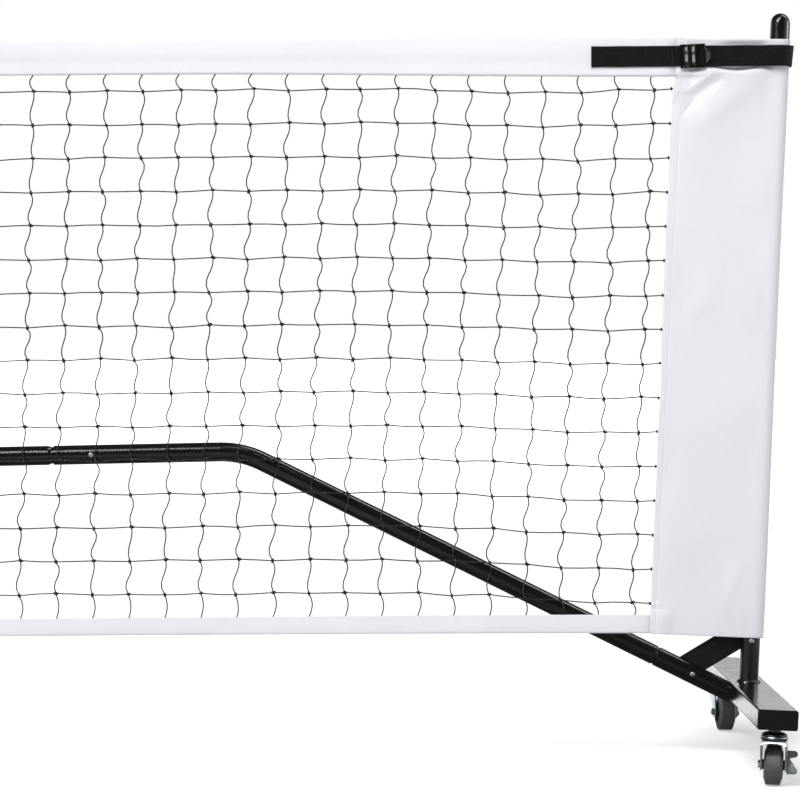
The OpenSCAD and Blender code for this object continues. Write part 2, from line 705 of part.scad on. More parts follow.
// The level strings lie in front of the upright ones
module net_mesh() color("#17171c") {
    level_y = net_y - (string_d + layer_gap) / 2;
    column_y = net_y + (string_d + layer_gap) / 2;
    for (i = [0:row_count - 1]) {
        d = top_band_h + first_row + i * row_pitch;
        upright(level_y - string_d / 2, level_y + string_d / 2)
            polygon(concat(net_line(d - string_d / 2), reversed(net_line(d + string_d / 2))));
    }
    last = floor((edge_x(post_net_z) - hem_w) / column_pitch);
    for (i = [-last:last]) {
        u = i * column_pitch / edge_x(post_net_z);
        top = net_point(u, top_band_h - tuck);
        foot = net_point(u, net_h - bottom_band_h + tuck);
        half = [string_d / 2, 0];
        upright(column_y - string_d / 2, column_y + string_d / 2)
            polygon([top - half, top + half, foot + half, foot - half]);
    }
}
// A folded tape between two distances below the net's top edge, open at d_open
module tape(d_fold, d_open) {
    way = sign(d_open - d_fold);
    difference() {
        upright(net_y - band_t / 2, net_y + band_t / 2)
            polygon(concat(net_line(d_fold), reversed(net_line(d_open))));
        upright(net_y - band_t / 2 + cloth_t, net_y + band_t / 2 - cloth_t) polygon(concat(
            [for (p = net_line(d_fold + way * cloth_t)) p + [p[0] / 500, 0]],
            [for (p = reversed(net_line(d_open + way * over))) p + [p[0] / 500, 0]]));
    }
}
module top_band() color(white) tape(0, top_band_h);
module bottom_band() color(white) tape(net_h, net_h - bottom_band_h);
// Cross-section of a side panel: a cloth loop round the post that closes in the hem, in front
module panel_section() {
    out_r = tube_r + pocket_gap + cloth_t;
    in_r = tube_r + pocket_gap;
    hem = [-panel_reach - over, net_y];
    seam = hem_w + panel_taper + over;
    // The cloth lies on the post between these two angles
    wrap = [-92, 102];
    difference() {
        polygon(concat(
            [hem - [0, cloth_t], hem + [seam, -cloth_t]], arc([0, 0], out_r, wrap[0], wrap[1], 20),
            [hem + [seam, cloth_t], hem + [0, cloth_t]]));
        polygon(concat([hem + [seam + over, 0]], arc([0, 0], in_r, wrap[0], wrap[1], 20)));
    }
}
module side_panel(s) color(white) on_side(s) difference() {
    on_post() translate([0, 0, panel_up]) linear_extrude(post_len) panel_section();
    translate([edge_x(0) - panel_reach, -2 * tube_od, post_net_z])
        cube([4 * panel_reach, 4 * tube_od, post_len]);
    upright(-2 * tube_od, 2 * tube_od) polygon([
        for (p = [[0, 0], [1, 0], [1, 1], [0, 1]])
            [panel_edge_x(p[1] * post_len * 2) - p[0] * panel_reach, p[1] * post_len * 2]]);
}
// Cloth pocket on the back of the top tape that slips over the rod
module rod_pocket() color(white) {
    back_y = net_y + band_t / 2 + 0.1 + cloth_t / 2;
    in_r = inner_r + pocket_gap;
    path = concat([[-in_r - flange_w, back_y], [-in_r - cloth_t / 2, back_y]],
        arc([0, 0], in_r + cloth_t / 2, 180, 0, 12),
        [[in_r + cloth_t / 2, back_y], [in_r + flange_w, back_y]]);
    top = centre_net_z - 2 * cloth_t;
    translate([0, 0, top - pocket_h]) linear_extrude(pocket_h) polygon(ribbon(path, cloth_t));
    translate([0, 0, top]) linear_extrude(cloth_t)
        polygon(concat([[in_r, back_y - cloth_t / 2]], arc([0, 0], in_r + cloth_t, 0, 180, 12),
            [[-in_r, back_y - cloth_t / 2]]));
}

// ---- Straps ----

// The webbing runs in front of the tape, round the post and back to the tape's rear
module strap(s) color(black) on_side(s) translate([strap_post_x, 0, strap_z - strap_w / 2])
    linear_extrude(strap_w) polygon(ribbon(concat(
        [[-strap_tail, -strap_y]], arc([0, 0], strap_y, -90, 80, 16),
        [[hem_w - panel_reach, net_y * 2 + strap_y], [-strap_back, net_y * 2 + strap_y]]), strap_t));
module buckles() color(black) on_both() {
    half = buckle_len / 2;
    in_h = strap_w / 2 + 0.4;
    out_h = in_h + buckle_rail;
    face = -strap_y - strap_t / 2 - seat_gap;
    tab = 9;
    bar = 4.6;
    slot = 4.4;
    translate([strap_post_x - buckle_reach, 0, strap_z]) {
        upright(face - buckle_t, face) difference() {
            polygon(concat(
                [[2 - half, -out_h], [half - tab - 3, -out_h]], arc([half - tab, 0], tab, -80, 80, 12),
                [[half - tab - 3, out_h], [2 - half, out_h]]));
            for (x = [2 + bar, 2 + 2 * bar + slot]) translate([x - half, 1 - in_h])
                square([slot, 2 * in_h - 2]);
        }
        for (z = [-out_h, in_h]) translate([2 - half, face - over, z])
            cube([buckle_len - 6 - tab, over + strap_t / 2 + seat_gap, buckle_rail]);
    }
}

foot_beam(left);  // foot_beam_left
foot_beam(right);  // foot_beam_right
beam_end_caps();
post_sockets();
frame_sockets();
brace_plates();
post(left);  // post_left
post(right);  // post_right
post_caps();
bent_rail(left);  // bent_rail_left
bent_rail(right);  // bent_rail_right
rail_sleeves();
outer_rails();
inner_rails();
centre_beam();
centre_stand();
centre_rod();
rubber_pads();
caster_stems();
stem_nuts();
button_springs();
net_mesh();
top_band();
bottom_band();
side_panel(left);  // side_panel_left
side_panel(right);  // side_panel_right
strap(left);  // strap_left
strap(right);  // strap_right
buckles();
rod_pocket();
post_button(left);  // post_button_left
post_button(right);  // post_button_right
socket_button(left);  // socket_button_left
socket_button(right);  // socket_button_right
sleeve_button(left);  // sleeve_button_left
sleeve_button(right);  // sleeve_button_right
rail_button(left);  // rail_button_left
rail_button(right);  // rail_button_right
centre_button(left);  // centre_button_left
centre_button(right);  // centre_button_right
rod_button();
fork(right_front);  // fork_right_front
fork(right_rear);  // fork_right_rear
fork(left_front);  // fork_left_front
fork(left_rear);  // fork_left_rear
axle(right_front);  // axle_right_front
axle(right_rear);  // axle_right_rear
axle(left_front);  // axle_left_front
axle(left_rear);  // axle_left_rear
hub(right_front);  // hub_right_front
hub(right_rear);  // hub_right_rear
hub(left_front);  // hub_left_front
hub(left_rear);  // hub_left_rear
tyre(right_front);  // tyre_right_front
tyre(right_rear);  // tyre_right_rear
tyre(left_front);  // tyre_left_front
tyre(left_rear);  // tyre_left_rear
lock_lever(right_front);  // lock_lever_right
lock_lever(left_rear);  // lock_lever_left
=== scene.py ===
"""The looks of a portable court net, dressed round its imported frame. Metres, +Z up, front towards -Y."""
import json
import math

import bmesh
import bpy
import numpy as np
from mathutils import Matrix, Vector

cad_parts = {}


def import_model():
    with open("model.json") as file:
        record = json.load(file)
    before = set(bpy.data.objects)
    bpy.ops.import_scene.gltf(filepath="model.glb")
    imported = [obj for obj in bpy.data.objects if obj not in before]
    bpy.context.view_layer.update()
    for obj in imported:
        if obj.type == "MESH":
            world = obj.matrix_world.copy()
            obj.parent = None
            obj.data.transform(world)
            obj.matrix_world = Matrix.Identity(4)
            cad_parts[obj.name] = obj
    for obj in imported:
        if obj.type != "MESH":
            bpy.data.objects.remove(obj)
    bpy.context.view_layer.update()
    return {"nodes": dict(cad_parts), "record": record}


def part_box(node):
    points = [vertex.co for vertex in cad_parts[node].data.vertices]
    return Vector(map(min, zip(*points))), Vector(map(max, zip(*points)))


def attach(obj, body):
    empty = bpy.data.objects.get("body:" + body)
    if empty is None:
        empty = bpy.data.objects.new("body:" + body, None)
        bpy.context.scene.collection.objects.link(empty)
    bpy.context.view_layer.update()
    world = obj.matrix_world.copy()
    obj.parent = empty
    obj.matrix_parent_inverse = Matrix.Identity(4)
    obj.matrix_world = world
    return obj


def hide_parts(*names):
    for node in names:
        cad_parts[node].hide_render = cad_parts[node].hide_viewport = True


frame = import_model()


# ---------------------------------------------------------------- sizes, some of them from the frame

MM = 0.001
WORDS = {1: "right", -1: "left"}  # of the net's two ends, by the sign of their X
band_low, band_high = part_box("top_band")

LEAN = math.radians(2.62)  # of the posts, outwards
HALF_SPAN = 3353 * MM  # from the middle to the post's axis at the net's top
FOOT_LIFT = 0.51 * MM  # of the leaning foot's origin, so that its wheels stand on the floor
BEAM_TOP = 94.5 * MM  # along the post's axis, from the foot's origin
STEM_Y = 279 * MM  # of the casters' stems, from the middle of their foot beam
POST_R = 12.5 * MM

NET_END = band_high.x
NET_Y = (band_low.y + band_high.y) / 2
NET_TOP = band_high.z
NET_DIP = 50 * MM  # of the net's top edge, in the middle
NET_H = 756 * MM
TOP_BAND_H = 46 * MM
LOW_BAND_H = 21 * MM
BAND_T = band_high.y - band_low.y
CLOTH_T = 0.7 * MM
ROWS = 16
ROW_PITCH = 42.65 * MM
ROW_SPREAD = 0.85 * MM  # added to the pitch near the net's ends
FIRST_ROW = 17.5 * MM  # below the upper tape
COLUMN_PITCH = 46.3 * MM

PANEL_REACH = 135 * MM  # from the post's axis to the panel's inner edge, at the net's top
PANEL_TAPER = 4.5 * MM  # of that reach, down to the net's lower edge
PANEL_LOW = 57.2 * MM  # along the post, from the foot beam
EDGE_GAP = 0.3 * MM  # between the net and a panel
HEM_W = 13 * MM
LAST_COLUMN = int((NET_END - HEM_W) / COLUMN_PITCH)

STRAP_Z = 892 * MM
STRAP_W = 26.4 * MM
STRAP_T = 1.5 * MM
STRAP_LOW = STRAP_Z - STRAP_W / 2


def step(x, low, high):
    """Rises smoothly from 0 at low to 1 at high."""
    t = np.clip((x - low) / (high - low), 0, 1)
    return t * t * (3 - 2 * t)


def window(x, start, full, ebb, end):
    """Rises smoothly from 0 to 1 between start and full, and falls back between ebb and end."""
    return step(x, start, full) * (1 - step(x, ebb, end))


def bump(x, middle, width):
    return np.exp(-((x - middle) / width) ** 2)


def post_x(z):
    """X of the right post's axis at height z."""
    return HALF_SPAN - (NET_TOP - z) * math.tan(LEAN)


def reach_at(z):
    """Distance from the post's axis to its panel's inner edge."""
    return PANEL_REACH - PANEL_TAPER * (NET_TOP - z) / NET_H


def row_depth(row, x):
    """Depth of a level string below the net's top edge. The strings sink and spread a little near a panel."""
    x = np.abs(x)
    pitch = ROW_PITCH + ROW_SPREAD * step(x, 3.0, 3.2)
    return TOP_BAND_H + FIRST_ROW + row * pitch + 5 * MM * bump(x, 3.06, 0.12)


def top_z(x):
    return NET_TOP - NET_DIP * (1 - np.minimum(np.abs(x) / HALF_SPAN, 1)) ** 2


def net_point(u, d):
    """X and Z of the net: u runs from -1 to 1 between its ends, d is the distance below its top edge."""
    z = top_z(u * NET_END) - d
    return u * (post_x(z) - reach_at(z) / math.cos(LEAN) - EDGE_GAP), z


# ---------------------------------------------------------------- mesh helpers


def stacked(*arrays):
    """Numbers or arrays, brought to one shape, as the coordinates of points."""
    return np.stack(np.broadcast_arrays(*arrays), -1)


def at_side(points, side):
    """Points of the net's right end, or their mirror image for its left end."""
    return points * np.array([side, 1, 1])


def add_mesh(name, points, faces, uv=None, turn_out=True):
    """A smooth mesh object. uv holds one pair for each point, in metres where a weave follows it."""
    mesh = bpy.data.meshes.new(name)
    mesh.from_pydata(np.asarray(points, float).tolist(), [], [list(map(int, f)) for f in faces])
    mesh.update()
    if uv is not None:
        corner = np.zeros(len(mesh.loops), np.int32)
        mesh.loops.foreach_get("vertex_index", corner)
        layer = mesh.uv_layers.new(name="UVMap")
        layer.data.foreach_set("uv", np.asarray(uv, np.float32)[corner].ravel())
    if turn_out:
        work = bmesh.new()
        work.from_mesh(mesh)
        bmesh.ops.recalc_face_normals(work, faces=work.faces)
        work.to_mesh(mesh)
        work.free()
    mesh.polygons.foreach_set("use_smooth", [True] * len(mesh.polygons))
    piece = bpy.data.objects.new(name, mesh)
    bpy.context.scene.collection.objects.link(piece)
    return piece


def keep_edges(piece, degrees):
    """Shades the edges sharper than an angle as edges."""
    piece.modifiers.new("edges", "EDGE_SPLIT").split_angle = math.radians(degrees)
    return piece


def quads(rows, cols, close_cols=False, start=0):
    """Faces of a grid of points laid row by row."""
    i = np.arange(rows - 1)[:, None] * cols
    j = np.arange(cols if close_cols else cols - 1)[None, :]
    k = (j + 1) % cols
    return (np.stack([i + j, i + k, i + k + cols, i + j + cols], -1) + start).reshape(-1, 4)


def tube_faces(rings, sides, start=0):
    """Faces of a closed bar: its rings of points, laid one after another, and its two ends."""
    last = start + (rings - 1) * sides
    ends = [list(range(start, start + sides))[::-1], list(range(last, last + sides))]
    return quads(rings, sides, True, start).tolist() + ends


def shell(name, p, uv):
    """A closed sheet of cloth whose middle is the grid of points p (rows, cols, 3)."""
    rows, cols = p.shape[:2]
    normal = np.cross(np.gradient(p, axis=0), np.gradient(p, axis=1))
    normal /= np.maximum(np.linalg.norm(normal, axis=2, keepdims=True), 1e-12)
    half = normal * CLOTH_T / 2
    count = rows * cols
    front = quads(rows, cols)
    back = front[:, ::-1] + count
    ring = np.concatenate([
        np.arange(cols), np.arange(1, rows) * cols + cols - 1,
        (rows - 1) * cols + np.arange(cols - 2, -1, -1), np.arange(rows - 2, 0, -1) * cols])
    after = np.roll(ring, -1)
    rim = np.stack([after, ring, ring + count, after + count], -1)
    points = np.concatenate([(p + half).reshape(-1, 3), (p - half).reshape(-1, 3)])
    return add_mesh(name, points, np.concatenate([front, back, rim]), np.concatenate([uv.reshape(-1, 2)] * 2))


def waves(a, b, size, seed, count=7):
    """A smooth uneven height from about -1 to 1 over two coordinates. Its bumps lie about size apart."""
    rng = np.random.default_rng(seed)
    total = 0
    for _ in range(count):
        angle, phase = rng.random(2) * 2 * math.pi
        k = 2 * math.pi / size * (0.6 + 0.8 * rng.random())
        total = total + np.sin(k * (a * math.cos(angle) + b * math.sin(angle)) + phase)
    return total / (0.5 * count)


def along(path):
    """Distance along a path of points (n, 2) at each of them."""
    return np.concatenate([[0], np.cumsum(np.linalg.norm(np.diff(path, axis=0), axis=1))])


def dress(piece, slot, body="frame", replaces=(), look=None):
    """Gives a piece its slot's material or another look, and lets it ride on a body in place of CAD nodes."""
    piece.data.materials.append(look or FINISH[slot])
    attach(piece, body)
    if replaces:
        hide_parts(*replaces)
    return piece


# ---------------------------------------------------------------- materials


class Nodes:
    """A short way to build the nodes of a new material, or of the world."""

    def __init__(self, name, owner=None):
        self.material = owner or bpy.data.materials.new(name)
        self.material.use_nodes = True
        self.tree = self.material.node_tree
        self.shader = self.tree.nodes.get("Principled BSDF")

    def add(self, kind, **values):
        node = self.tree.nodes.new(kind)
        for key, value in values.items():
            if hasattr(node, key):
                setattr(node, key, value)
            else:
                node.inputs[key.replace("_", " ")].default_value = value
        return node

    def link(self, out, into):
        self.tree.links.new(out, into)

    def coordinates(self, kind="Object"):
        return self.add("ShaderNodeTexCoord").outputs[kind]

    def axes(self, where):
        """The X, Y and Z of a vector."""
        node = self.add("ShaderNodeSeparateXYZ")
        self.link(where, node.inputs[0])
        return node.outputs

    def noise(self, where, scale, detail=3.0, roughness=0.5):
        node = self.add("ShaderNodeTexNoise", Scale=scale, Detail=detail, Roughness=roughness)
        self.link(where, node.inputs["Vector"])
        return node.outputs["Fac"]

    def between(self, value, low, high, from_low=0.3, from_high=0.7):
        """Maps a value to the range low to high."""
        node = self.add("ShaderNodeMapRange")
        ends = {"From Min": from_low, "From Max": from_high, "To Min": low, "To Max": high}
        for key, number in ends.items():
            node.inputs[key].default_value = number
        self.link(value, node.inputs["Value"])
        return node.outputs["Result"]

    def rise(self, value, start, end, level=1):
        return self.between(value, 0, level, start, end)

    def fall(self, value, start, end):
        return self.between(value, 1, 0, start, end)

    def blend(self, value, low, high):
        """A colour between two, by a value from 0 to 1."""
        node = self.add("ShaderNodeMix", data_type="RGBA")
        self.link(value, node.inputs["Factor"])
        for socket, colour in zip([s for s in node.inputs if s.type == "RGBA"], (low, high)):
            socket.default_value = (*colour, 1)
        return [s for s in node.outputs if s.type == "RGBA"][0]

    def math(self, how, *values):
        node = self.add("ShaderNodeMath", operation=how)
        for socket, value in zip(node.inputs, values):
            if isinstance(value, (int, float)):
                socket.default_value = value
            else:
                self.link(value, socket)
        return node.outputs[0]

    def product(self, first, *others):
        for other in others:
            first = self.math("MULTIPLY", first, other)
        return first

    def bump(self, height, distance, strength=1.0):
        """Adds a bump on top of those before it."""
        node = self.add("ShaderNodeBump", Strength=strength, Distance=distance)
        self.link(height, node.inputs["Height"])
        normal = self.shader.inputs["Normal"]
        if normal.links:
            self.link(normal.links[0].from_socket, node.inputs["Normal"])
        self.link(node.outputs["Normal"], normal)

    def rough(self, where, scale, low, high):
        """A roughness that changes from place to place."""
        self.link(self.between(self.noise(where, scale, 3), low, high), self.shader.inputs["Roughness"])

    def colour(self, out):
        self.link(out, self.shader.inputs["Base Color"])

    def set(self, **values):
        for key, value in values.items():
            self.shader.inputs[key.replace("_", " ")].default_value = value


def varied(n, colour, spread, scale, where):
    """The base colour, a little lighter and darker from place to place."""
    low = tuple(c * (1 - spread) for c in colour)
    high = tuple(c * (1 + spread) for c in colour)
    n.colour(n.blend(n.between(n.noise(where, scale, 4), 0, 1), low, high))


def coated_tube():
    """Gloss black powder coat with its fine orange peel."""
    n = Nodes("black_tube")
    where = n.coordinates()
    varied(n, (0.006, 0.006, 0.0063), 0.2, 9, where)
    n.set(Specular_IOR_Level=0.42, IOR=1.5)
    n.rough(where, 35, 0.10, 0.17)
    n.bump(n.noise(where, 420, 2), 0.00022, 0.55)
    n.bump(n.noise(where, 45, 2), 0.0006, 0.25)
    return n.material


def coated_plate():
    n = Nodes("black_plate")
    where = n.coordinates()
    varied(n, (0.005, 0.005, 0.005), 0.2, 20, where)
    n.set(Specular_IOR_Level=0.2)
    n.rough(where, 60, 0.42, 0.55)
    n.bump(n.noise(where, 700, 3), 0.0002, 0.5)
    return n.material


def moulded(name, colour, rough, grain, distance, gloss=0.5):
    """Moulded plastic or rubber with a fine grain."""
    n = Nodes(name)
    where = n.coordinates()
    varied(n, colour, 0.12, 30, where)
    n.set(Specular_IOR_Level=gloss)
    n.rough(where, 80, rough - 0.06, rough + 0.06)
    n.bump(n.noise(where, grain, 3), distance, 0.5)
    return n.material


def plated(name, dark, light, rough):
    """Plated steel: uneven brightness in patches, and a faint fine grain."""
    n = Nodes(name)
    where = n.coordinates()
    cells = n.add("ShaderNodeTexVoronoi", Scale=130, Randomness=1.0)
    n.link(where, cells.inputs["Vector"])
    patches = n.math("MULTIPLY", cells.outputs["Distance"], 0.5)
    n.colour(n.blend(n.math("ADD", n.between(n.noise(where, 60, 4), 0, 0.6), patches), dark, light))
    n.set(Metallic=1.0)
    n.rough(where, 90, rough - 0.08, rough + 0.1)
    n.bump(n.noise(where, 900, 2), 0.0001, 0.35)
    return n.material


def woven(name, colour, pitch, depth):
    """Plain-woven cloth: threads along both directions of the piece's UV map, which is in metres."""
    n = Nodes(name)
    uv = n.coordinates("UV")
    varied(n, colour, 0.012, 14, n.coordinates())
    heights = []
    for direction in ("X", "Y"):
        wave = n.add("ShaderNodeTexWave", wave_type="BANDS", bands_direction=direction,
                     Scale=1 / pitch / math.tau * math.pi, Distortion=0.6, Detail=1.0)
        n.link(uv, wave.inputs["Vector"])
        heights.append(wave.outputs["Fac"])
    n.bump(n.math("MAXIMUM", *heights), depth, 0.6)
    n.bump(n.noise(n.coordinates(), 55, 3), 0.0008, 0.25)
    n.set(Roughness=0.55, Sheen_Weight=0.15, Sheen_Roughness=0.5, Sheen_Tint=(1, 1, 1, 1))
    return n.material


def webbing():
    """Black webbing: rows of flat stitches, uneven from thread to thread, and darker in the sunken lines
    between the stitches, which is painted shade.
    """
    n = Nodes("black_webbing")
    uv = n.coordinates("UV")
    bricks = n.add("ShaderNodeTexBrick", Scale=1.0, offset=0.5, Mortar_Smooth=0.6)
    for key, number in (("Brick Width", 0.0026), ("Row Height", 0.0013), ("Mortar Size", 0.0003)):
        bricks.inputs[key].default_value = number
    n.link(uv, bricks.inputs["Vector"])
    fine = n.between(n.noise(uv, 900, 3), 0.55, 1.0)
    broad = n.between(n.noise(uv, 330, 2), 0.1, 1.5)
    # Random tone of the threads, times painted shade in the sunken lines between stitches
    tone_and_shade = n.product(fine, n.math("SUBTRACT", 1.0, bricks.outputs["Fac"]), broad)
    n.colour(n.blend(tone_and_shade, (0.001, 0.001, 0.001), (0.014, 0.014, 0.0134)))
    n.bump(n.math("SUBTRACT", 1.0, bricks.outputs["Fac"]), 0.00035, 0.8)
    n.bump(n.noise(n.coordinates(), 1600, 2), 0.0002, 0.4)
    n.set(Roughness=0.72, Sheen_Weight=0.02, Sheen_Roughness=0.4, Specular_IOR_Level=0.12)
    return n.material


def string():
    """Twisted black string: its strands wind round it along the UV map. Its colour is darker between the
    strands and lighter on their crests, which is painted shade.
    """
    n = Nodes("net_string")
    split = n.axes(n.coordinates("UV"))
    turn_length = 3.2 * MM
    turn = n.math("ADD", n.math("MULTIPLY", split["X"], math.tau / turn_length), split["Y"])
    strands = n.math("ABSOLUTE", n.math("SINE", turn))
    n.bump(strands, 0.0003, 0.8)
    # Painted shade: the colour follows the strands' height, darker in the grooves between them
    n.colour(n.blend(strands, (0.006, 0.006, 0.007), (0.017, 0.017, 0.02)))
    n.set(Roughness=0.7, Specular_IOR_Level=0.3, Sheen_Weight=0.1)
    return n.material


FINISH = {
    "black_tube": coated_tube(),
    "black_plate": coated_plate(),
    "black_cap": moulded("black_cap", (0.0037, 0.0037, 0.0037), 0.5, 900, 0.0002, 0.18),
    "gloss_cap": moulded("gloss_cap", (0.0045, 0.0045, 0.0046), 0.1, 300, 0.00003),
    "zinc": plated("zinc", (0.38, 0.435, 0.465), (0.62, 0.68, 0.725), 0.3),
    "race": plated("race", (0.045, 0.05, 0.055), (0.12, 0.125, 0.13), 0.35),
    "spring": plated("spring", (0.4, 0.41, 0.42), (0.55, 0.56, 0.57), 0.3),
    "lever": plated("lever", (0.19, 0.215, 0.225), (0.30, 0.325, 0.335), 0.42),
    "wheel_hub": moulded("wheel_hub", (0.012, 0.012, 0.013), 0.45, 500, 0.0002),
    "wheel_tread": moulded("wheel_tread", (0.078, 0.078, 0.079), 0.45, 420, 0.00025),
    "pad_rubber": moulded("pad_rubber", (0.02, 0.02, 0.02), 0.65, 500, 0.0003),
    "white_cloth": woven("white_cloth", (0.80, 0.80, 0.828), 0.55 * MM, 0.06 * MM),
    "net_string": string(),
    "black_webbing": webbing(),
}
# The thumb tab of a buckle is duller than its frame, and its colour is painted less dark than the frame's: a
# painted reflection of the light the tab catches
GRIP_PAINTED_REFLECTION = moulded("buckle_grip_painted_reflection", (0.03, 0.03, 0.031), 0.3, 900, 0.0001, 0.4)

node_slot = {part["node"]: part["material_slot"] for part in frame["record"]["subparts"]}
for node_name, node in frame["nodes"].items():
    if node.material_slots:
        for material_slot in node.material_slots:
            material_slot.material = FINISH[node_slot[node_name]]
    else:
        node.data.materials.append(FINISH[node_slot[node_name]])

# ---------------------------------------------------------------- net

LEVEL_R, UPRIGHT_R = 0.82 * MM, 0.85 * MM  # of the strings
# Half sizes in mm of a wide knot and of a tall one, and how much each flares upwards
KNOTS = {True: (3.3, 2.0, 2.3, 0.35), False: (2.2, 2.0, 3.2, 0.15)}


def string_tube(paths, radius, sides=5):
    """Points, faces and UVs of strings (m, k, 3) that lie in the net's plane."""
    m, k = paths.shape[:2]
    way = np.gradient(paths, axis=1)
    way[..., 1] = 0
    way /= np.maximum(np.linalg.norm(way, axis=2, keepdims=True), 1e-12)
    side = stacked(-way[..., 2], 0.0, way[..., 0])
    angle = np.arange(sides) * math.tau / sides
    out = np.cos(angle)[:, None] * side[:, :, None, :] + np.sin(angle)[:, None] * np.array([0, 1, 0])
    points = paths[:, :, None, :] + radius * out
    faces = np.concatenate([quads(k, sides, True, i * k * sides) for i in range(m)])
    lengths = np.cumsum(np.linalg.norm(np.diff(paths, axis=1), axis=2), 1)
    lengths = np.concatenate([np.zeros((m, 1)), lengths], 1)
    return points.reshape(-1, 3), faces, stacked(lengths[..., None], angle).reshape(-1, 2)


def knot_shape(wide, rings=5, sides=7):
    """Points and faces of one knot about the origin: three rounded lobes that wind up it."""
    tilt = np.linspace(-math.pi / 2, math.pi / 2, rings)[:, None]
    turn = np.arange(sides)[None, :] * math.tau / sides
    lobe = 1 + 0.16 * np.cos(3 * turn + 4 * tilt)
    size_x, size_y, size_z, flare = KNOTS[wide]
    z = np.sin(tilt)
    x = np.cos(tilt) * np.cos(turn) * lobe * (1 + flare * z)
    y = np.cos(tilt) * np.sin(turn) * lobe
    points = stacked(x * size_x, y * size_y, z * size_z).reshape(-1, 3) * MM
    return points, quads(rings, sides, True)


def placed_knots(at, wide, turn, size):
    """Knots of one kind at places (n, 3), each with its turn in the net's plane and its size."""
    base, faces = knot_shape(wide)
    turn, size = turn[:, None], size[:, None]
    x, z = base[:, 0] * size, base[:, 2] * size
    cos, sin = np.cos(turn), np.sin(turn)
    shape = stacked(x * cos + z * sin, base[:, 1] * size, z * cos - x * sin)
    points = (at[:, None, :] + shape).reshape(-1, 3)
    faces = faces[None] + np.arange(len(at))[:, None, None] * len(base)
    return points, faces.reshape(-1, 4), points[:, ::2] * [1, 900]


def knot_places(rng):
    """Where the knots are (rows, columns, 3), which of them are wide, and the u of each column."""
    rows = np.arange(ROWS)[:, None]
    columns = np.arange(-LAST_COLUMN, LAST_COLUMN + 1)[None, :]
    u = columns * COLUMN_PITCH / NET_END
    x, z = net_point(u, row_depth(rows, u * NET_END))
    wide = (rows + columns) % 2 == 0
    x = x + rng.normal(0, 0.9 * MM, x.shape) + np.where(wide, 0.7, -0.7) * MM
    z = z + rng.normal(0, 0.5 * MM, x.shape) + np.where(wide, 0.9, -0.9) * MM
    return stacked(x, NET_Y, z), wide, u


def level_strings(rng, knots):
    """Taut strings through the rows of knots, and a little way into the panels' hems."""
    ends = []
    for side in (-1, 1):
        x, z = net_point(side, row_depth(np.arange(ROWS)[:, None], NET_END))
        ends.append(stacked(x + side * 3 * MM, NET_Y, z + rng.normal(0, 0.4 * MM, x.shape)))
    middle = (knots[:, 1:] + knots[:, :-1]) / 2
    level = np.empty((ROWS, 2 * knots.shape[1] - 1, 3))
    level[:, ::2] = knots
    level[:, 1::2] = middle + rng.normal(0, 0.35 * MM, middle.shape) * [1, 0.3, 1]
    return np.concatenate([ends[0], level, ends[1]], 1)


def upright_strings(rng, knots, wide, u):
    """Slack strings down the columns of knots. They swing to the right below a knot, and then to the left."""
    one_row = (1, knots.shape[1])
    hidden = 3 * MM  # of a string's ends, in the tapes
    head_x, head_z = net_point(u, TOP_BAND_H - hidden)
    foot_x, foot_z = net_point(u, NET_H - LOW_BAND_H + hidden)
    foot = stacked(foot_x, NET_Y, foot_z)
    # A Bezier curve from each stop to the next, whose handles swing out by these millimetres
    stops = np.concatenate([stacked(head_x - 1.5 * MM, NET_Y, head_z), knots, foot], 0)
    swing_out = np.where(wide, 4.5, 10.5) * rng.uniform(0.35, 1.25, wide.shape)
    swing_in = 11.0 * rng.uniform(0.55, 1.25, wide.shape)
    right = np.concatenate([np.full(one_row, -7.0), swing_out[:-1], rng.uniform(4, 8, one_row)], 0) * MM
    left = np.concatenate([rng.uniform(4, 9, one_row), swing_in[1:], np.full(one_row, -5.0)], 0) * MM
    a, d = stops[:-1], stops[1:]
    handle = 0.42 * (a - d)[..., 2]
    b = a + stacked(right, rng.normal(0, 1.0 * MM, handle.shape), -handle)
    c = d + stacked(-left, rng.normal(0, 1.0 * MM, handle.shape), handle)
    t = (np.arange(6) / 6)[None, :, None, None]
    curve = ((1 - t) ** 3 * a[:, None] + 3 * (1 - t) ** 2 * t * b[:, None]
             + 3 * (1 - t) * t ** 2 * c[:, None] + t ** 3 * d[:, None])
    return np.concatenate([curve.reshape(-1, knots.shape[1], 3), foot], 0).transpose(1, 0, 2)


def net():
    """The knotted net: strings, knots where they cross, and smaller knots where the panels hold them."""
    rng = np.random.default_rng(11)
    knots, wide, u = knot_places(rng)
    level = level_strings(rng, knots)
    parts = [string_tube(level, LEVEL_R), string_tube(upright_strings(rng, knots, wide, u), UPRIGHT_R)]
    for is_wide in (True, False):
        at = knots[wide == is_wide]
        turn = rng.normal(0, 0.25, len(at))
        parts.append(placed_knots(at, is_wide, turn, rng.uniform(0.9, 1.1, len(at))))
    inwards = [4 * MM, 0, 0]
    at = np.concatenate([level[:, 0] + inwards, level[:, -1] - inwards])
    parts.append(placed_knots(at, False, np.zeros(len(at)), np.full(len(at), 0.75)))

    starts = np.cumsum([0] + [len(points) for points, _, _ in parts])
    faces = np.concatenate([part[1] + start for part, start in zip(parts, starts)])
    points, uv = (np.concatenate([part[i] for part in parts]) for i in (0, 2))
    dress(add_mesh("knotted_net", points, faces, uv, turn_out=False), "net_string", replaces=["net_mesh"])


# ---------------------------------------------------------------- tapes


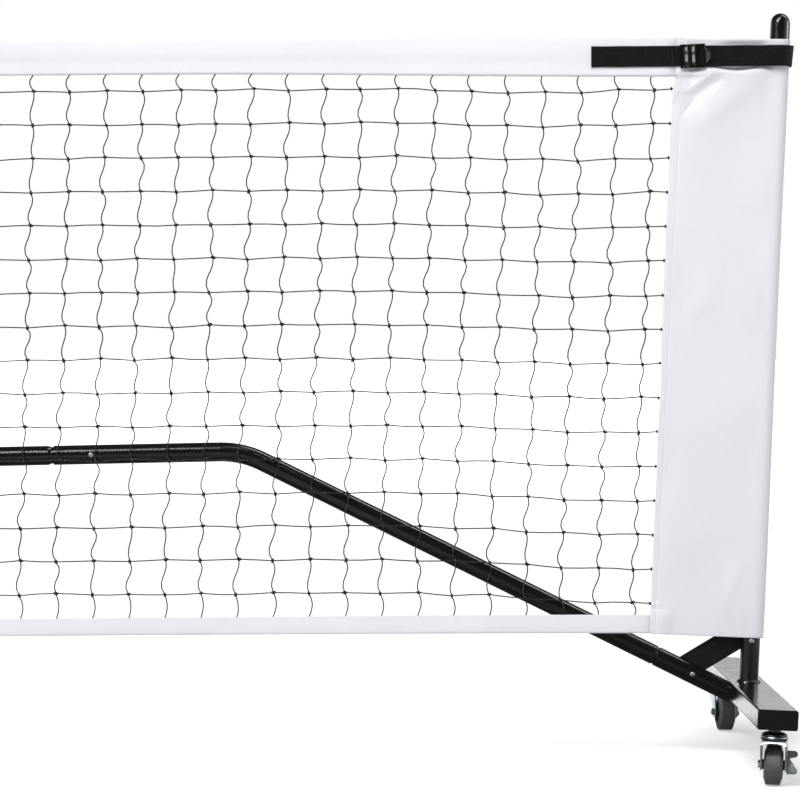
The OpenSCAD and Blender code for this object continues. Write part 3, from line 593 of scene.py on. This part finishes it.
def tape(name, height, profile, edge, way, node):
    """A folded tape whose fold lies at the depth edge. way is 1 where it hangs down from there, and -1 where
    it stands up. profile gives half its thickness by the share of its height, from the fold to the hems."""
    share = np.linspace(0, 1, 15)
    half = profile(share)
    fold = np.linspace(0, math.pi / 2, 6)[:-1]
    fold_r = half[0]
    u = np.linspace(-1, 1, 641)
    tall = height(np.abs(u * NET_END))[:, None]
    y = np.concatenate([fold_r * np.sin(fold), half])
    d = np.concatenate([fold_r * (1 - np.cos(fold)) + 0 * tall, fold_r + share * (tall - fold_r)], 1)
    y = np.concatenate([-y[::-1], y[1:]])
    d = np.concatenate([d[:, ::-1], d[:, 1:]], 1)
    across = along(np.stack([y, d[0]], -1))
    into_hem = 12 * MM
    x, z = net_point(u[:, None], edge + way * d)
    ending = step(np.abs(u), 0.9975, 1)[:, None]
    x = x + np.sign(u)[:, None] * into_hem * ending
    middle = len(y) // 2
    open_share = np.abs(np.arange(len(y)) - middle)[None, :] / middle
    y = y[None, :] * (1 - 0.85 * ending ** 3)
    wave = waves(x, z * 2, 0.22, 5) * 0.55 * MM + waves(x, z, 0.06, 6) * 0.2 * MM
    puff = 1 + 0.12 * waves(x, z * 0, 0.3, 7)
    y = NET_Y + y * puff + wave * open_share * np.sign(y) * (1 - ending)
    z = z + waves(x, z * 0, 0.35, 8) * 0.4 * MM * open_share
    piece = shell(name, stacked(x, y, z), stacked(u[:, None] * NET_END, across[None, :]))
    dress(piece, "white_cloth", replaces=[node])


def top_height(x):
    """The upper tape is a little taller near the net's ends."""
    return (43 + 5 * step(x, 2.55, 3.15)) * MM


def low_height(x):
    return (21.7 + 1.6 * step(x, 2.4, 3.15)) * MM


def top_profile(share):
    """Rounded above, flat in the middle, and a little flared at the hem."""
    rounded = 1.35 * (1 - (1 - np.minimum(share / 0.45, 1)) ** 2)
    flare = np.clip((share - 0.62) / 0.38, 0, 1)
    return (0.95 + rounded - 0.55 * step(share, 0.40, 0.66) + flare) * MM


def low_profile(share):
    return (2.3 - 0.9 * step(share, 0.2, 1.0)) * MM


# ---------------------------------------------------------------- end panels

POST_AXIS = np.array([math.sin(LEAN), 0, math.cos(LEAN)])
POST_OUT = np.array([math.cos(LEAN), 0, -math.sin(LEAN)])
POST_FOOT = np.array([post_x(FOOT_LIFT), 0, FOOT_LIFT]) + BEAM_TOP * POST_AXIS
POCKET_R = POST_R + 0.4 * MM + CLOTH_T / 2
HEM_Y = 0.35 * MM  # of a hem's two layers, from the net's plane
SEAMS = (1.8 * MM, HEM_W - 1.6 * MM)  # rows of stitches, from the panel's inner edge
LEDGE_Z = 189.5 * MM  # where the hem steps over the lower tape's end
# Folds of a panel's front: the two ends of each (x from the post's axis, z), its width and its height
FOLDS = [
    ((-0.128, 0.823), (-0.070, 0.866), 7.5 * MM, -3.9 * MM),
    ((-0.112, 0.850), (-0.086, 0.869), 2.2 * MM, 1.0 * MM),
    ((-0.115, 0.795), (-0.030, 0.860), 13 * MM, 1.6 * MM),
    ((-0.100, 0.560), (-0.070, 0.600), 9 * MM, 0.7 * MM),
    ((-0.040, 0.190), (-0.014, 0.260), 8 * MM, 1.0 * MM),
]
STITCH_STEP, STITCH_R = 3.4 * MM, 0.3 * MM
# A stitch's rings: their places along it in mm, and their shares of its radius
STITCH = ((-1.2, 0.1), (-0.8, 0.9), (0.0, 1.0), (0.8, 0.9), (1.2, 0.1))
STITCH_SIDES = 5


def fold_relief(x, z, start, end, width, height):
    """A ridge that runs from start to end, both (x, z), and dies away at both."""
    start, end = np.array(start), np.array(end)
    length = np.linalg.norm(end - start)
    way = (end - start) / length
    run = ((x - start[0]) * way[0] + (z - start[1]) * way[1]) / length
    off = -(x - start[0]) * way[1] + (z - start[1]) * way[0]
    return height * bump(off, 0, width) * window(run, -0.15, 0.2, 0.7, 1.2)


def strap_relief(x, z):
    """The strap pulls the cloth in, and below it the cloth bellies out under a wavy lip."""
    lip = STRAP_LOW - 2.5 * MM - 4.5 * MM * bump(x, -0.055, 0.022) - 1.5 * MM * bump(x, -0.012, 0.006)
    below = lip - z
    belly = window(x, -0.115, -0.085, -0.03, -0.002)
    out = 6.6 * MM * belly * np.where(below > 0, np.exp(-below / 0.032), step(below, -3 * MM, 0))
    out = out - 7.0 * MM * belly * bump(below, -4.5 * MM, 4.5 * MM)
    # Under the buckle
    out = out - 4.5 * MM * bump(x, -0.108, 0.012) * bump(z, STRAP_LOW - 3 * MM, 3.6 * MM)
    out = out + 2.0 * MM * bump(x, -0.108, 0.014) * bump(z, STRAP_LOW - 9 * MM, 4 * MM)
    # Above the strap
    above = z - STRAP_LOW - STRAP_W
    pressed = window(x, -0.088, -0.062, -0.030, -0.012)
    out = out - 2.6 * MM * pressed * bump(above, 0.5 * MM, 3.2 * MM)
    return out + 1.2 * MM * pressed * bump(above, 8 * MM, 4 * MM)


def hem_relief(edge, z, seed):
    """The hem's puckers, its grooves under the stitches and its steps. edge is the distance from its edge."""
    out = 0
    for row in range(ROWS):  # Each level string pulls on the hem
        string_z = net_point(1.0, row_depth(row, NET_END))[1]
        out = out + 0.55 * MM * bump(z, string_z - 1.5 * MM, 3.2 * MM) * bump(edge, 8 * MM, 14 * MM)
    out = out - 0.3 * MM * bump(edge, SEAMS[0], 0.9 * MM) - 0.6 * MM * bump(edge, SEAMS[1], 1.0 * MM)
    in_hem = 1 - step(edge, HEM_W - 1 * MM, HEM_W + 2 * MM)
    out = out + 0.14 * MM * in_hem * waves(edge - PANEL_REACH, z, 0.011, seed)
    out = out - 0.8 * MM * in_hem * bump(z, LEDGE_Z, 1.3 * MM)
    # The tapes' ends lie inside the hem
    over_tapes = (1 - step(edge, 20 * MM, 36 * MM)) * (1 - step(z, 0.178, 0.193))
    over_tapes = over_tapes + 0.95 * (1 - step(edge, 14 * MM, 30 * MM)) * step(z, 0.862, 0.872)
    return out + 2.5 * MM * over_tapes


def front_relief(x, z, seed):
    """How far the panel's front layer stands proud, at x from the post's axis and height z."""
    free = window(x, -PANEL_REACH + 4 * MM, -0.105, -0.016, -0.004)
    out = 1.1 * MM * free * waves(x, z, 0.15, seed) + 0.35 * MM * free * waves(x, z * 0.4, 0.05, seed + 1)
    out = out + strap_relief(x, z)
    for fold in FOLDS:
        out = out + fold_relief(x, z, *fold)
    return out + hem_relief(x + PANEL_REACH, z, seed + 2)


def back_relief(x, z, seed):
    """How far the panel's back layer stands off."""
    return window(x, -0.11, -0.07, -0.02, -0.004) * (waves(x, z, 0.17, seed) * 1.3 * MM + 0.8 * MM)


def hem_seam(side, front):
    """White stitches that lie on the grid of a panel's front: two rows beside its inner edge, two across the
    lower tape and one across the upper."""
    edge = np.linalg.norm(front - front[:, :1], axis=2).mean(0)
    height = front[:, 0, 2]

    def on_front(off, z):
        row = np.interp(z, height, np.arange(len(height)))
        column = np.interp(off, edge, np.arange(len(edge)))
        i, j = min(int(row), len(height) - 2), min(int(column), len(edge) - 2)
        fi, fj = row - i, column - j
        return ((front[i, j] * (1 - fi) + front[i + 1, j] * fi) * (1 - fj)
                + (front[i, j + 1] * (1 - fi) + front[i + 1, j + 1] * fi) * fj)

    places = [(off, z, 0) for off in SEAMS
              for z in np.arange(height[0] + 3 * MM, STRAP_LOW - 16 * MM, STITCH_STEP)]
    across_hem = HEM_W - 2 * MM
    for z, end in ((height[0] + 4 * MM, across_hem), (height[0] + 25 * MM, across_hem),
                   (NET_TOP - 4.5 * MM, 30 * MM)):
        places += [(off, z, 1) for off in np.arange(3 * MM, end, STITCH_STEP)]

    turn = np.arange(STITCH_SIDES)[None, :, None] * math.tau / STITCH_SIDES
    size = np.array([share for _, share in STITCH])[:, None, None] * STITCH_R
    points, faces = [], []
    for off, z, lies in places:
        spine = np.array([on_front(off + lies * t * MM, z + (1 - lies) * t * MM) for t, _ in STITCH])
        spine = spine - [0, CLOTH_T / 2, 0]
        across = np.array([1 - lies, 0, lies])
        ring = spine[:, None] + size * (np.cos(turn) * across + np.sin(turn) * np.array([0, 1, 0]))
        faces += tube_faces(len(STITCH), STITCH_SIDES, len(points) * len(STITCH) * STITCH_SIDES)
        points.append(ring.reshape(-1, 3))
    piece = add_mesh(f"hem_stitches_{WORDS[side]}", at_side(np.concatenate(points), side), faces)
    dress(piece, "white_cloth")


def panel_path():
    """The cloth's way round a post, seen from above: front layer, loop, back layer and hem. Also gives the
    layer of each point: 0 in front, 1 in the loop, 2 behind."""
    in_hem, beyond = np.linspace(0, 0.16, 22, endpoint=False), np.linspace(0.16, 1, 44, endpoint=False)
    t = np.concatenate([in_hem, beyond])
    front = np.stack([-PANEL_REACH * (1 - t), NET_Y - HEM_Y + (-POCKET_R - NET_Y + HEM_Y) * t], -1)
    angle = np.radians(np.linspace(-90, 102, 18))
    loop = POCKET_R * np.stack([np.cos(angle), np.sin(angle)], -1)
    seam = np.array([-PANEL_REACH + HEM_W, NET_Y + HEM_Y])
    back = loop[-1] + (seam - loop[-1]) * np.linspace(0, 1, 27)[1:, None]
    hem = seam + np.array([[-HEM_W / 2, 0], [-HEM_W, 0]])
    layer = np.repeat([0, 1, 2], [len(front), len(loop), len(back) + len(hem)])
    return np.concatenate([front, loop, back, hem]), layer


def panel(side):
    """An end panel, sewn as a pocket round its post."""
    path, layer = panel_path()
    across = along(path)
    x, y = path[:, 0], path[:, 1]
    foot, middle = np.linspace(0, 0.06, 30, endpoint=False), np.linspace(0.06, 0.86, 150, endpoint=False)
    share = np.concatenate([foot, middle, np.linspace(0.86, 1, 76)])[:, None]  # closer at both ends
    top = (NET_TOP - CLOTH_T - POST_FOOT[2] + x * math.sin(LEAN)) / math.cos(LEAN)
    up = PANEL_LOW + share * (top - PANEL_LOW)
    height = POST_FOOT[2] + up * math.cos(LEAN) - x * math.sin(LEAN)
    level = height[:, :1]
    taper = (PANEL_REACH - reach_at(level)) * np.clip(-x / (PANEL_REACH - HEM_W), 0, 1)
    x = x + taper + 2.6 * MM * (1 - step(level, 0.2, 0.75)) * np.clip(x / POCKET_R, 0, 1)
    seed = 21 if side > 0 else 31
    over_tape = (1 - step(path[:, 0], -0.115, -0.099)) * (1 - step(height, 0.176, 0.196))
    y = y - (layer == 0) * front_relief(x, height, seed)
    y = y + (layer == 2) * (back_relief(x, height, seed + 5) + 2.5 * MM * over_tape)
    # The inner edge flares towards the post where it meets the upper tape
    near_edge = 1 - step(x, -PANEL_REACH, -PANEL_REACH + 30 * MM)
    x = x + 3 * MM * near_edge * step(height, 0.838, 0.864) ** 2
    x = x + near_edge * waves(height, height * 0, 0.12, seed + 8) * 0.5 * MM
    p = POST_FOOT + x[..., None] * POST_OUT + up[..., None] * POST_AXIS + y[..., None] * [0, 1, 0]
    hem_seam(side, p[:, layer == 0])
    word = WORDS[side]
    piece = shell(f"end_panel_{word}", at_side(p, side), stacked(across[None, :], up))
    dress(piece, "white_cloth", replaces=[f"side_panel_{word}"])


# ---------------------------------------------------------------- straps

STRAP_DROOP = -2.0 * MM  # at the free end
# Across the webbing: places as shares of half its width, and its thickness there as a share of the full one
STRAP_SECTION = ((-1, 0.12), (-0.985, 0.8), (-0.93, 1.0), (-0.8, 0.9), (-0.4, 0.86), (0, 0.86), (0.4, 0.86),
                 (0.8, 0.9), (0.93, 1.0), (0.985, 0.8), (1.0, 0.12))


def strap_path():
    """The webbing's centre line seen from above, from its free end in front to its sewn end behind."""
    free_end, sewn_end = -0.240, -0.2
    y = -NET_Y + BAND_T / 2 + 0.3 * MM + STRAP_T / 2
    x = np.linspace(free_end, -0.001, 90)
    lift = 1.3 * MM * bump(x, -0.118, 0.008) + 1.0 * MM * bump(x, -0.106, 0.005)  # over the buckle's bars
    front = np.stack([x, -y - lift], -1)
    angle = np.radians(np.linspace(-90, 80, 26))
    loop = y * np.stack([np.cos(angle), np.sin(angle)], -1)
    rear_y = 2 * NET_Y + y
    t = np.linspace(0, 1, 24)[1:, None]
    slant = loop[-1] + (np.array([-PANEL_REACH + 8 * MM, rear_y]) - loop[-1]) * t
    rear = stacked(np.linspace(-PANEL_REACH + 4 * MM, sewn_end, 14), rear_y)
    return np.concatenate([front, loop, slant, rear])


def strap(side):
    """A flat strip of webbing on edge round the post, with firm rounded selvedges."""
    path = strap_path()
    s = along(path)
    way = np.gradient(path, axis=0)
    way /= np.linalg.norm(way, axis=1, keepdims=True)
    section = np.array(STRAP_SECTION) * [1, STRAP_T / 2]
    section = np.concatenate([section, section[::-1] * [1, -1]])
    ring = len(section)
    x = path[:, 0, None] + way[:, 1, None] * section[None, :, 1]
    y = path[:, 1, None] - way[:, 0, None] * section[None, :, 1]
    sag = STRAP_DROOP * np.clip(-path[:, :1] / 0.24, 0, 1)
    edge = waves(s, s * 0, 0.04, 3)[:, None] * 0.15 * MM
    z = STRAP_Z + sag + section[None, :, 0] * (STRAP_W / 2 + edge)
    round_post = step(path[:, :1], -0.02, 0.005)
    x = x * (1 - 0.13 * step(x, 0, 0.012)) + post_x(STRAP_Z)
    x = x + (z - STRAP_Z) * math.tan(2.2 * LEAN) * round_post
    uv = stacked(s[:, None], section[None, :, 0] * STRAP_W / 2).reshape(-1, 2)
    word = WORDS[side]
    points = at_side(stacked(x, y, z).reshape(-1, 3), side)
    piece = add_mesh(f"webbing_{word}", points, tube_faces(len(path), ring), uv)
    dress(piece, "black_webbing", replaces=[f"strap_{word}"])


# ---------------------------------------------------------------- buckles

BUCKLE_X = (-127.6 * MM, -95.6 * MM)  # its two ends, from the post's axis
BUCKLE_MIDDLE = -112 * MM  # where it turns, from the post's axis
BUCKLE_Y = (-24.05 * MM, -21.0 * MM)  # its front and its back, which lies on the webbing
BUCKLE_HALF = 15 * MM  # of its height
BUCKLE_RAILS = {1: 3.0 * MM, -1: 1.9 * MM}  # heights of the upper and the lower rail
BUCKLE_TURN, BUCKLE_DROP = math.radians(2.6), 1.1 * MM
# Cross bars in mm: X from and to, front, slope in degrees, and the height and phase of a wave in the front
BUCKLE_BARS = [
    (-127.6, -124.8, -22.6, 0.0, 0.0, 0.0),
    (-121.9, -117.6, -24.0, 21.0, 0.13, 12.0),
    (-112.9, -108.6, -24.0, 21.0, 0.11, 11.0),
    (-107.6, -102.8, -22.6, 0.0, 0.0, 0.0),
    (-97.9, -95.6, -24.0, 0.0, 0.0, 0.0),
]
TAB_SLOPE = math.tan(math.radians(20))
# The thumb tab's rings, from its outline inwards: their shares of its reach and of its thickness
TAB_RINGS = ((1.0, 0.0), (1.0, 0.55), (0.955, 0.95), (0.9, 1.0), (0.84, 0.9), (0.76, 0.55), (0.5, 0.5),
             (0.0, 0.5))


def block(x, y, z, tilt=0.0, wave=0.0, phase=0.0):
    """A bar with rounded edges. Its front slopes back towards -X by tilt, and waves along its height."""
    count = 25
    (x0, x1), (y0, y1), (z0, z1) = x, y, z
    r = min(0.45 * MM, (x1 - x0) / 4)
    height = np.linspace(z0, z1, count)
    end = 1 - np.abs(np.linspace(-1, 1, count)) ** 12 * 0.12
    front = y0 + wave * np.sin((height - phase) * math.tau / (14.5 * MM))
    front_left = front + (x1 - x0) * math.tan(tilt)
    middle = (x0 + x1) / 2
    ring = [(x1 - r, front + r * math.tan(tilt)), (x1, front + r), (x1, y1 - r), (x1 - r, y1),
            (x0 + r, y1), (x0, y1 - r), (x0, front_left + r), (x0 + r, front_left - r * math.tan(tilt))]
    points = np.stack([stacked(middle + (px - middle) * end, py, height) for px, py in ring], 1)
    return points.reshape(-1, 3), tube_faces(count, len(ring))


def tab(x0, reach, half, front, back):
    """A D-shaped plate with a raised, rounded rim, whose front slopes back towards its tip."""
    angle = np.linspace(-math.pi / 2, math.pi / 2, 25)
    share, lift = np.array(TAB_RINGS).T[..., None]
    out = share * reach * np.cos(angle)
    points = stacked(x0 + out, back + (front - out * TAB_SLOPE - back) * lift, share * half * np.sin(angle))
    return points.reshape(-1, 3), quads(len(TAB_RINGS), len(angle)).tolist()


def moulding(name, parts, side):
    """Joins parts made about the post's axis and the strap's middle, and gives them the buckle's place."""
    starts = np.cumsum([0] + [len(points) for points, _ in parts])
    faces = [[int(i + start) for i in face] for (_, part), start in zip(parts, starts) for face in part]
    p = np.concatenate([points for points, _ in parts])
    x, z = p[:, 0] - BUCKLE_MIDDLE, p[:, 2]
    turned_x = post_x(STRAP_Z) + BUCKLE_MIDDLE + x * math.cos(BUCKLE_TURN) - z * math.sin(BUCKLE_TURN)
    turned_z = STRAP_Z - BUCKLE_DROP + x * math.sin(BUCKLE_TURN) + z * math.cos(BUCKLE_TURN)
    points = at_side(stacked(turned_x, p[:, 1], turned_z), side)
    return keep_edges(add_mesh(f"{name}_{WORDS[side]}", points, faces), 18)


def buckle_frame():
    """The parts of a ladder buckle: two rails, and sloping cross bars that grip the webbing."""
    front, back = BUCKLE_Y
    inside = (BUCKLE_RAILS[-1] / 2 - BUCKLE_HALF, BUCKLE_HALF - BUCKLE_RAILS[1] / 2)
    parts = [block((x0 * MM, x1 * MM), (bar_front * MM, back), inside,
                   math.radians(tilt), wave * MM, phase * MM)
             for x0, x1, bar_front, tilt, wave, phase in BUCKLE_BARS]
    for sign, rail in BUCKLE_RAILS.items():
        edges = sorted((sign * BUCKLE_HALF, sign * (BUCKLE_HALF - rail)))
        lying, faces = block(edges, (front + 0.5 * MM, back), BUCKLE_X)
        parts.append((lying[:, ::-1], [face[::-1] for face in faces]))
    return parts


def stitches():
    """Two upright rows of thread that sew the webbing's layers together beside the buckle."""
    half_w, half_h = 0.5, 1.15
    return [block(((x - half_w) * MM, (x + half_w) * MM), (-21.5 * MM, -20.2 * MM),
                  ((z - half_h) * MM, (z + half_h) * MM))
            for x in (-141.4, -137.0) for z in np.arange(-10.0, 12.9, 2.85)]


def buckle(side):
    dress(moulding("buckle", buckle_frame(), side), "gloss_cap", replaces=["buckles"])
    thumb = [tab(-96.2 * MM, 8.0 * MM, 9.2 * MM, -22.2 * MM, BUCKLE_Y[1])]
    # The tab's lighter colour is a painted reflection
    dress(moulding("buckle_tab", thumb, side), "gloss_cap", replaces=["buckles"], look=GRIP_PAINTED_REFLECTION)
    dress(moulding("strap_stitches", stitches(), side), "black_cap")


# ---------------------------------------------------------------- casters

GAP_RING_SIDES = 48
# Outline in mm of the dark ring between a caster's races, partly painted shade of the gap: the radius, and the
# height above the foot's origin
GAP_RING = ((13.4, 59.3), (16.4, 59.3), (16.35, 58.4), (15.3, 56.4), (15.1, 55.4), (13.4, 55.4))


def race_gap_shades():
    """A dark ring on each caster's crown, between its two races. It is made of the races' dark steel and
    stands in for the shaded gap between them, so its darkness is partly painted shade.
    """
    angle = np.arange(GAP_RING_SIDES) * math.tau / GAP_RING_SIDES
    r, z = (np.array(GAP_RING) * MM).T[..., None]
    x, y = r * np.cos(angle), r * np.sin(angle)
    out = post_x(FOOT_LIFT) + x * math.cos(LEAN) + z * math.sin(LEAN)
    height = FOOT_LIFT - x * math.sin(LEAN) + z * math.cos(LEAN)
    faces = quads(len(GAP_RING), GAP_RING_SIDES, True).tolist()
    last = (len(GAP_RING) - 1) * GAP_RING_SIDES
    for j in range(GAP_RING_SIDES):
        k = (j + 1) % GAP_RING_SIDES
        faces.append([last + j, last + k, k, j])
    for side, word in WORDS.items():
        for end, place in ((-1, "front"), (1, "rear")):
            points = stacked(side * out, end * STEM_Y + y, height).reshape(-1, 3)
            piece = keep_edges(add_mesh(f"race_gap_shade_{word}_{place}", points, faces), 30)
            dress(piece, "race", f"caster_{word}_{place}")


# ---------------------------------------------------------------- rod pocket


def rod_pocket():
    """The cloth pocket behind the upper tape that slips over the rod in the middle."""
    low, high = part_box("rod_pocket")
    r = 11.65 * MM
    y0 = low.y + CLOTH_T / 2
    angle = np.radians(np.linspace(180, 0, 22))
    loop = np.stack([r * np.cos(angle), r * np.sin(angle)], -1)
    wing = stacked(np.linspace(low.x, -r, 8)[:-1], y0)
    stem = stacked(-r, np.linspace(y0, 0, 6)[:-1])
    left = np.concatenate([wing, stem])
    path = np.concatenate([left, loop, left[::-1] * [-1, 1]])
    across = along(path)[None, :]
    x, y = path[:, 0], path[:, 1]
    height = np.linspace(low.z, high.z - CLOTH_T, 24)[:, None]
    y = y + waves(x * 2, height, 0.05, 41) * 0.25 * MM * (np.abs(x) < 0.9 * r)
    piece = shell("rod_sleeve_cloth", stacked(x, y, height), stacked(across, height))
    dress(piece, "white_cloth", replaces=["rod_pocket"])


# ---------------------------------------------------------------- stage, lights and camera

AMBIENT = 0.395
DIFFUSE_TINT = (0.957, 0.97, 1.06, 1)
# Levels that gloss sees: all round, in the band behind, on the left, on the right, and high up behind
DARK_GLOSS, BAND_GLOSS, LEFT_GLOSS, RIGHT_GLOSS, TOP_GLOSS = 0.07, 1.22, 0.75, 1.4, 5.5
# Bright spots that gloss sees: where each lies, its inner and outer half angle in degrees, and its level
SOFTBOXES = [
    ((-0.608, -0.695, 0.38), 5, 9, 70.0),
    ((0.99, 0.06, 0.1), 7, 10, 12.0),
    ((0.1, -0.33, 0.94), 5, 9, 2.5),
]
# Levels of the floor that gloss sees: before the net's end, under the net, behind it, before its middle,
# and beyond its end
FLOOR_FRONT, FLOOR_UNDER, FLOOR_BEHIND, FLOOR_LEFT, FLOOR_RIGHT = 0.3, 0.1, 1.45, 0.62, 1.7
FLOOR_HALF = 60.0
FLOOR_DROP = 0.4 * MM

CAMERA_PLACE = (2.848, -4.0, 0.541)
FOCAL_PX = 3136
CENTRE_PX = 382.75  # straight ahead of the camera, from the picture's left edge
HORIZON_PX = 332.5
FRAME_PX = 800
SENSOR_MM = 36


def floor():
    """A pale floor. The camera sees it white beyond the object's shadow, and gloss sees it without shadows."""
    mesh = bpy.data.meshes.new("floor")
    corner = [(-1, -1), (1, -1), (1, 1), (-1, 1)]
    mesh.from_pydata([(x * FLOOR_HALF, y * FLOOR_HALF, 0) for x, y in corner], [], [(0, 1, 2, 3)])
    plane = bpy.data.objects.new("floor", mesh)
    plane.location.z = -FLOOR_DROP
    bpy.context.scene.collection.objects.link(plane)
    n = Nodes("floor")
    n.set(Base_Color=(0.72, 0.72, 0.72, 1), Roughness=0.9, Specular_IOR_Level=0.0)
    n.set(Emission_Color=(1, 1, 1, 1))
    rays = n.add("ShaderNodeLightPath")
    where = n.coordinates()
    away = n.add("ShaderNodeVectorMath", operation="LENGTH")
    n.link(where, away.inputs[0])
    glow = n.between(away.outputs["Value"], 0.42, 1.0, 4.5, 9.0)
    n.link(n.math("MULTIPLY", rays.outputs["Is Camera Ray"], glow), n.shader.inputs["Emission Strength"])
    split = n.axes(where)
    behind = n.between(split["Y"], FLOOR_UNDER, FLOOR_BEHIND, 0.3, 0.5)
    before = n.between(split["X"], FLOOR_LEFT, FLOOR_FRONT, 2.7, 3.1)
    before = n.product(before, n.fall(split["Y"], -0.3, -0.02))
    beside = n.rise(split["X"], 4.0, 4.8, FLOOR_RIGHT)
    gloss = n.add("ShaderNodeEmission")
    n.link(n.math("MAXIMUM", behind, n.math("MAXIMUM", before, beside)), gloss.inputs["Strength"])
    mix = n.add("ShaderNodeMixShader")
    for out, into in zip((rays.outputs["Is Glossy Ray"], n.shader.outputs[0], gloss.outputs[0]), mix.inputs):
        n.link(out, into)
    n.link(mix.outputs[0], n.tree.nodes["Material Output"].inputs["Surface"])
    mesh.materials.append(n.material)


def seen_by_gloss(n, where):
    """What gloss sees of the world: a dark room with bright places. Also gives its white band."""
    x, y, z = n.axes(where)
    band = n.product(n.rise(z, 0.07, 0.1), n.fall(z, 0.3, 0.42), n.rise(y, 0.2, 0.6))
    left = n.product(n.rise(x, -0.98, -0.86, LEFT_GLOSS), n.fall(x, -0.8, -0.6), n.fall(y, -0.3, -0.1))
    sides = n.math("MAXIMUM", left, n.rise(x, 0.6, 0.98, RIGHT_GLOSS))
    gloss = n.math("ADD", n.math("MAXIMUM", n.product(band, BAND_GLOSS), sides), DARK_GLOSS)
    top = n.product(n.rise(y, 0.02, 0.1, TOP_GLOSS), n.fall(y, 0.3, 0.4), n.rise(x, 0.1, 0.25),
                    n.rise(z, 0.5, 0.75))
    gloss = n.math("MAXIMUM", gloss, top)
    for toward, inner, outer, level in SOFTBOXES:
        turn = n.add("ShaderNodeVectorMath", operation="DOT_PRODUCT")
        n.link(where, turn.inputs[0])
        turn.inputs[1].default_value = Vector(toward).normalized()
        edge = [math.cos(math.radians(a)) for a in (outer, inner)]
        gloss = n.math("MAXIMUM", gloss, n.rise(turn.outputs["Value"], *edge, level))
    return gloss, band


def world():
    """Soft light from all round. The camera sees white, and gloss sees places of its own."""
    studio = bpy.data.worlds.new("studio")
    bpy.context.scene.world = studio
    n = Nodes("studio", studio)
    shade = n.tree.nodes["Background"]
    rays = n.add("ShaderNodeLightPath")
    gloss, band = seen_by_gloss(n, n.coordinates("Generated"))
    warm = n.math("MULTIPLY", band, rays.outputs["Is Glossy Ray"])
    tint = n.add("ShaderNodeMix", data_type="RGBA")
    n.link(rays.outputs["Is Diffuse Ray"], tint.inputs[0])
    n.link(n.blend(warm, (1, 1, 1), (1, 0.985, 0.95)), tint.inputs[6])
    tint.inputs[7].default_value = DIFFUSE_TINT
    n.link(tint.outputs[2], shade.inputs["Color"])
    strength = AMBIENT
    for kind, seen in (("Is Glossy Ray", gloss), ("Is Transmission Ray", 1.0), ("Is Camera Ray", 1.0)):
        mix = n.add("ShaderNodeMix")
        n.link(rays.outputs[kind], mix.inputs[0])
        for value, socket in ((strength, mix.inputs[2]), (seen, mix.inputs[3])):
            if isinstance(value, float):
                socket.default_value = value
            else:
                n.link(value, socket)
        strength = mix.outputs[0]
    n.link(strength, shade.inputs["Strength"])


def hold(name, data, place=(0, 0, 0)):
    """An object in the scene for a lamp or a camera."""
    holder = bpy.data.objects.new(name, data)
    holder.location = place
    bpy.context.scene.collection.objects.link(holder)
    return holder


def sun(name, direction, strength, angle):
    lamp = bpy.data.lights.new(name, "SUN")
    lamp.energy = strength
    lamp.angle = math.radians(angle)
    hold(name, lamp).rotation_euler = Vector(direction).to_track_quat("-Z", "Y").to_euler()


def strip_light(name, place, aim, size, power):
    lamp = bpy.data.lights.new(name, "AREA")
    lamp.shape = "RECTANGLE"
    lamp.size, lamp.size_y = size
    lamp.energy = power
    holder = hold(name, lamp, place)
    holder.rotation_euler = (Vector(aim) - Vector(place)).to_track_quat("-Z", "X").to_euler()
    return holder


def camera():
    data = bpy.data.cameras.new("camera")
    data.sensor_width = SENSOR_MM
    data.lens = SENSOR_MM * FOCAL_PX / FRAME_PX
    data.shift_x = 0.5 - CENTRE_PX / FRAME_PX
    holder = hold("camera", data, CAMERA_PLACE)
    pitch = math.atan((FRAME_PX / 2 - HORIZON_PX) / FOCAL_PX)
    holder.rotation_euler = (math.pi / 2 - pitch, 0, 0)
    bpy.context.scene.camera = holder


camera()
net()
tape("upper_tape", top_height, top_profile, 0, 1, "top_band")
tape("lower_tape", low_height, low_profile, NET_H - 1 * MM, -1, "bottom_band")
for part in (panel, strap, buckle):
    for end_sign in WORDS:
        part(end_sign)
race_gap_shades()
rod_pocket()

floor()
world()
sun("key", (0.35, 0.75, -0.95), 1.48, 25)
strip_light("overhead", (1.6, 0.5, 2.6), (1.6, 0, 0.5), (5.5, 0.16), 38).visible_glossy = False
strip_light("upper_front", (2.9, -1.6, 2.2), (2.9, 0, 0.8), (1.0, 1.0), 14.5).visible_glossy = False
glint = strip_light("buckle_glint", (2.94, -0.42, 0.935), (3.24, -0.024, 0.892), (0.08, 0.17), 0.3)
glint.visible_diffuse = glint.visible_camera = False
bpy.context.scene.view_settings.view_transform = "Standard"
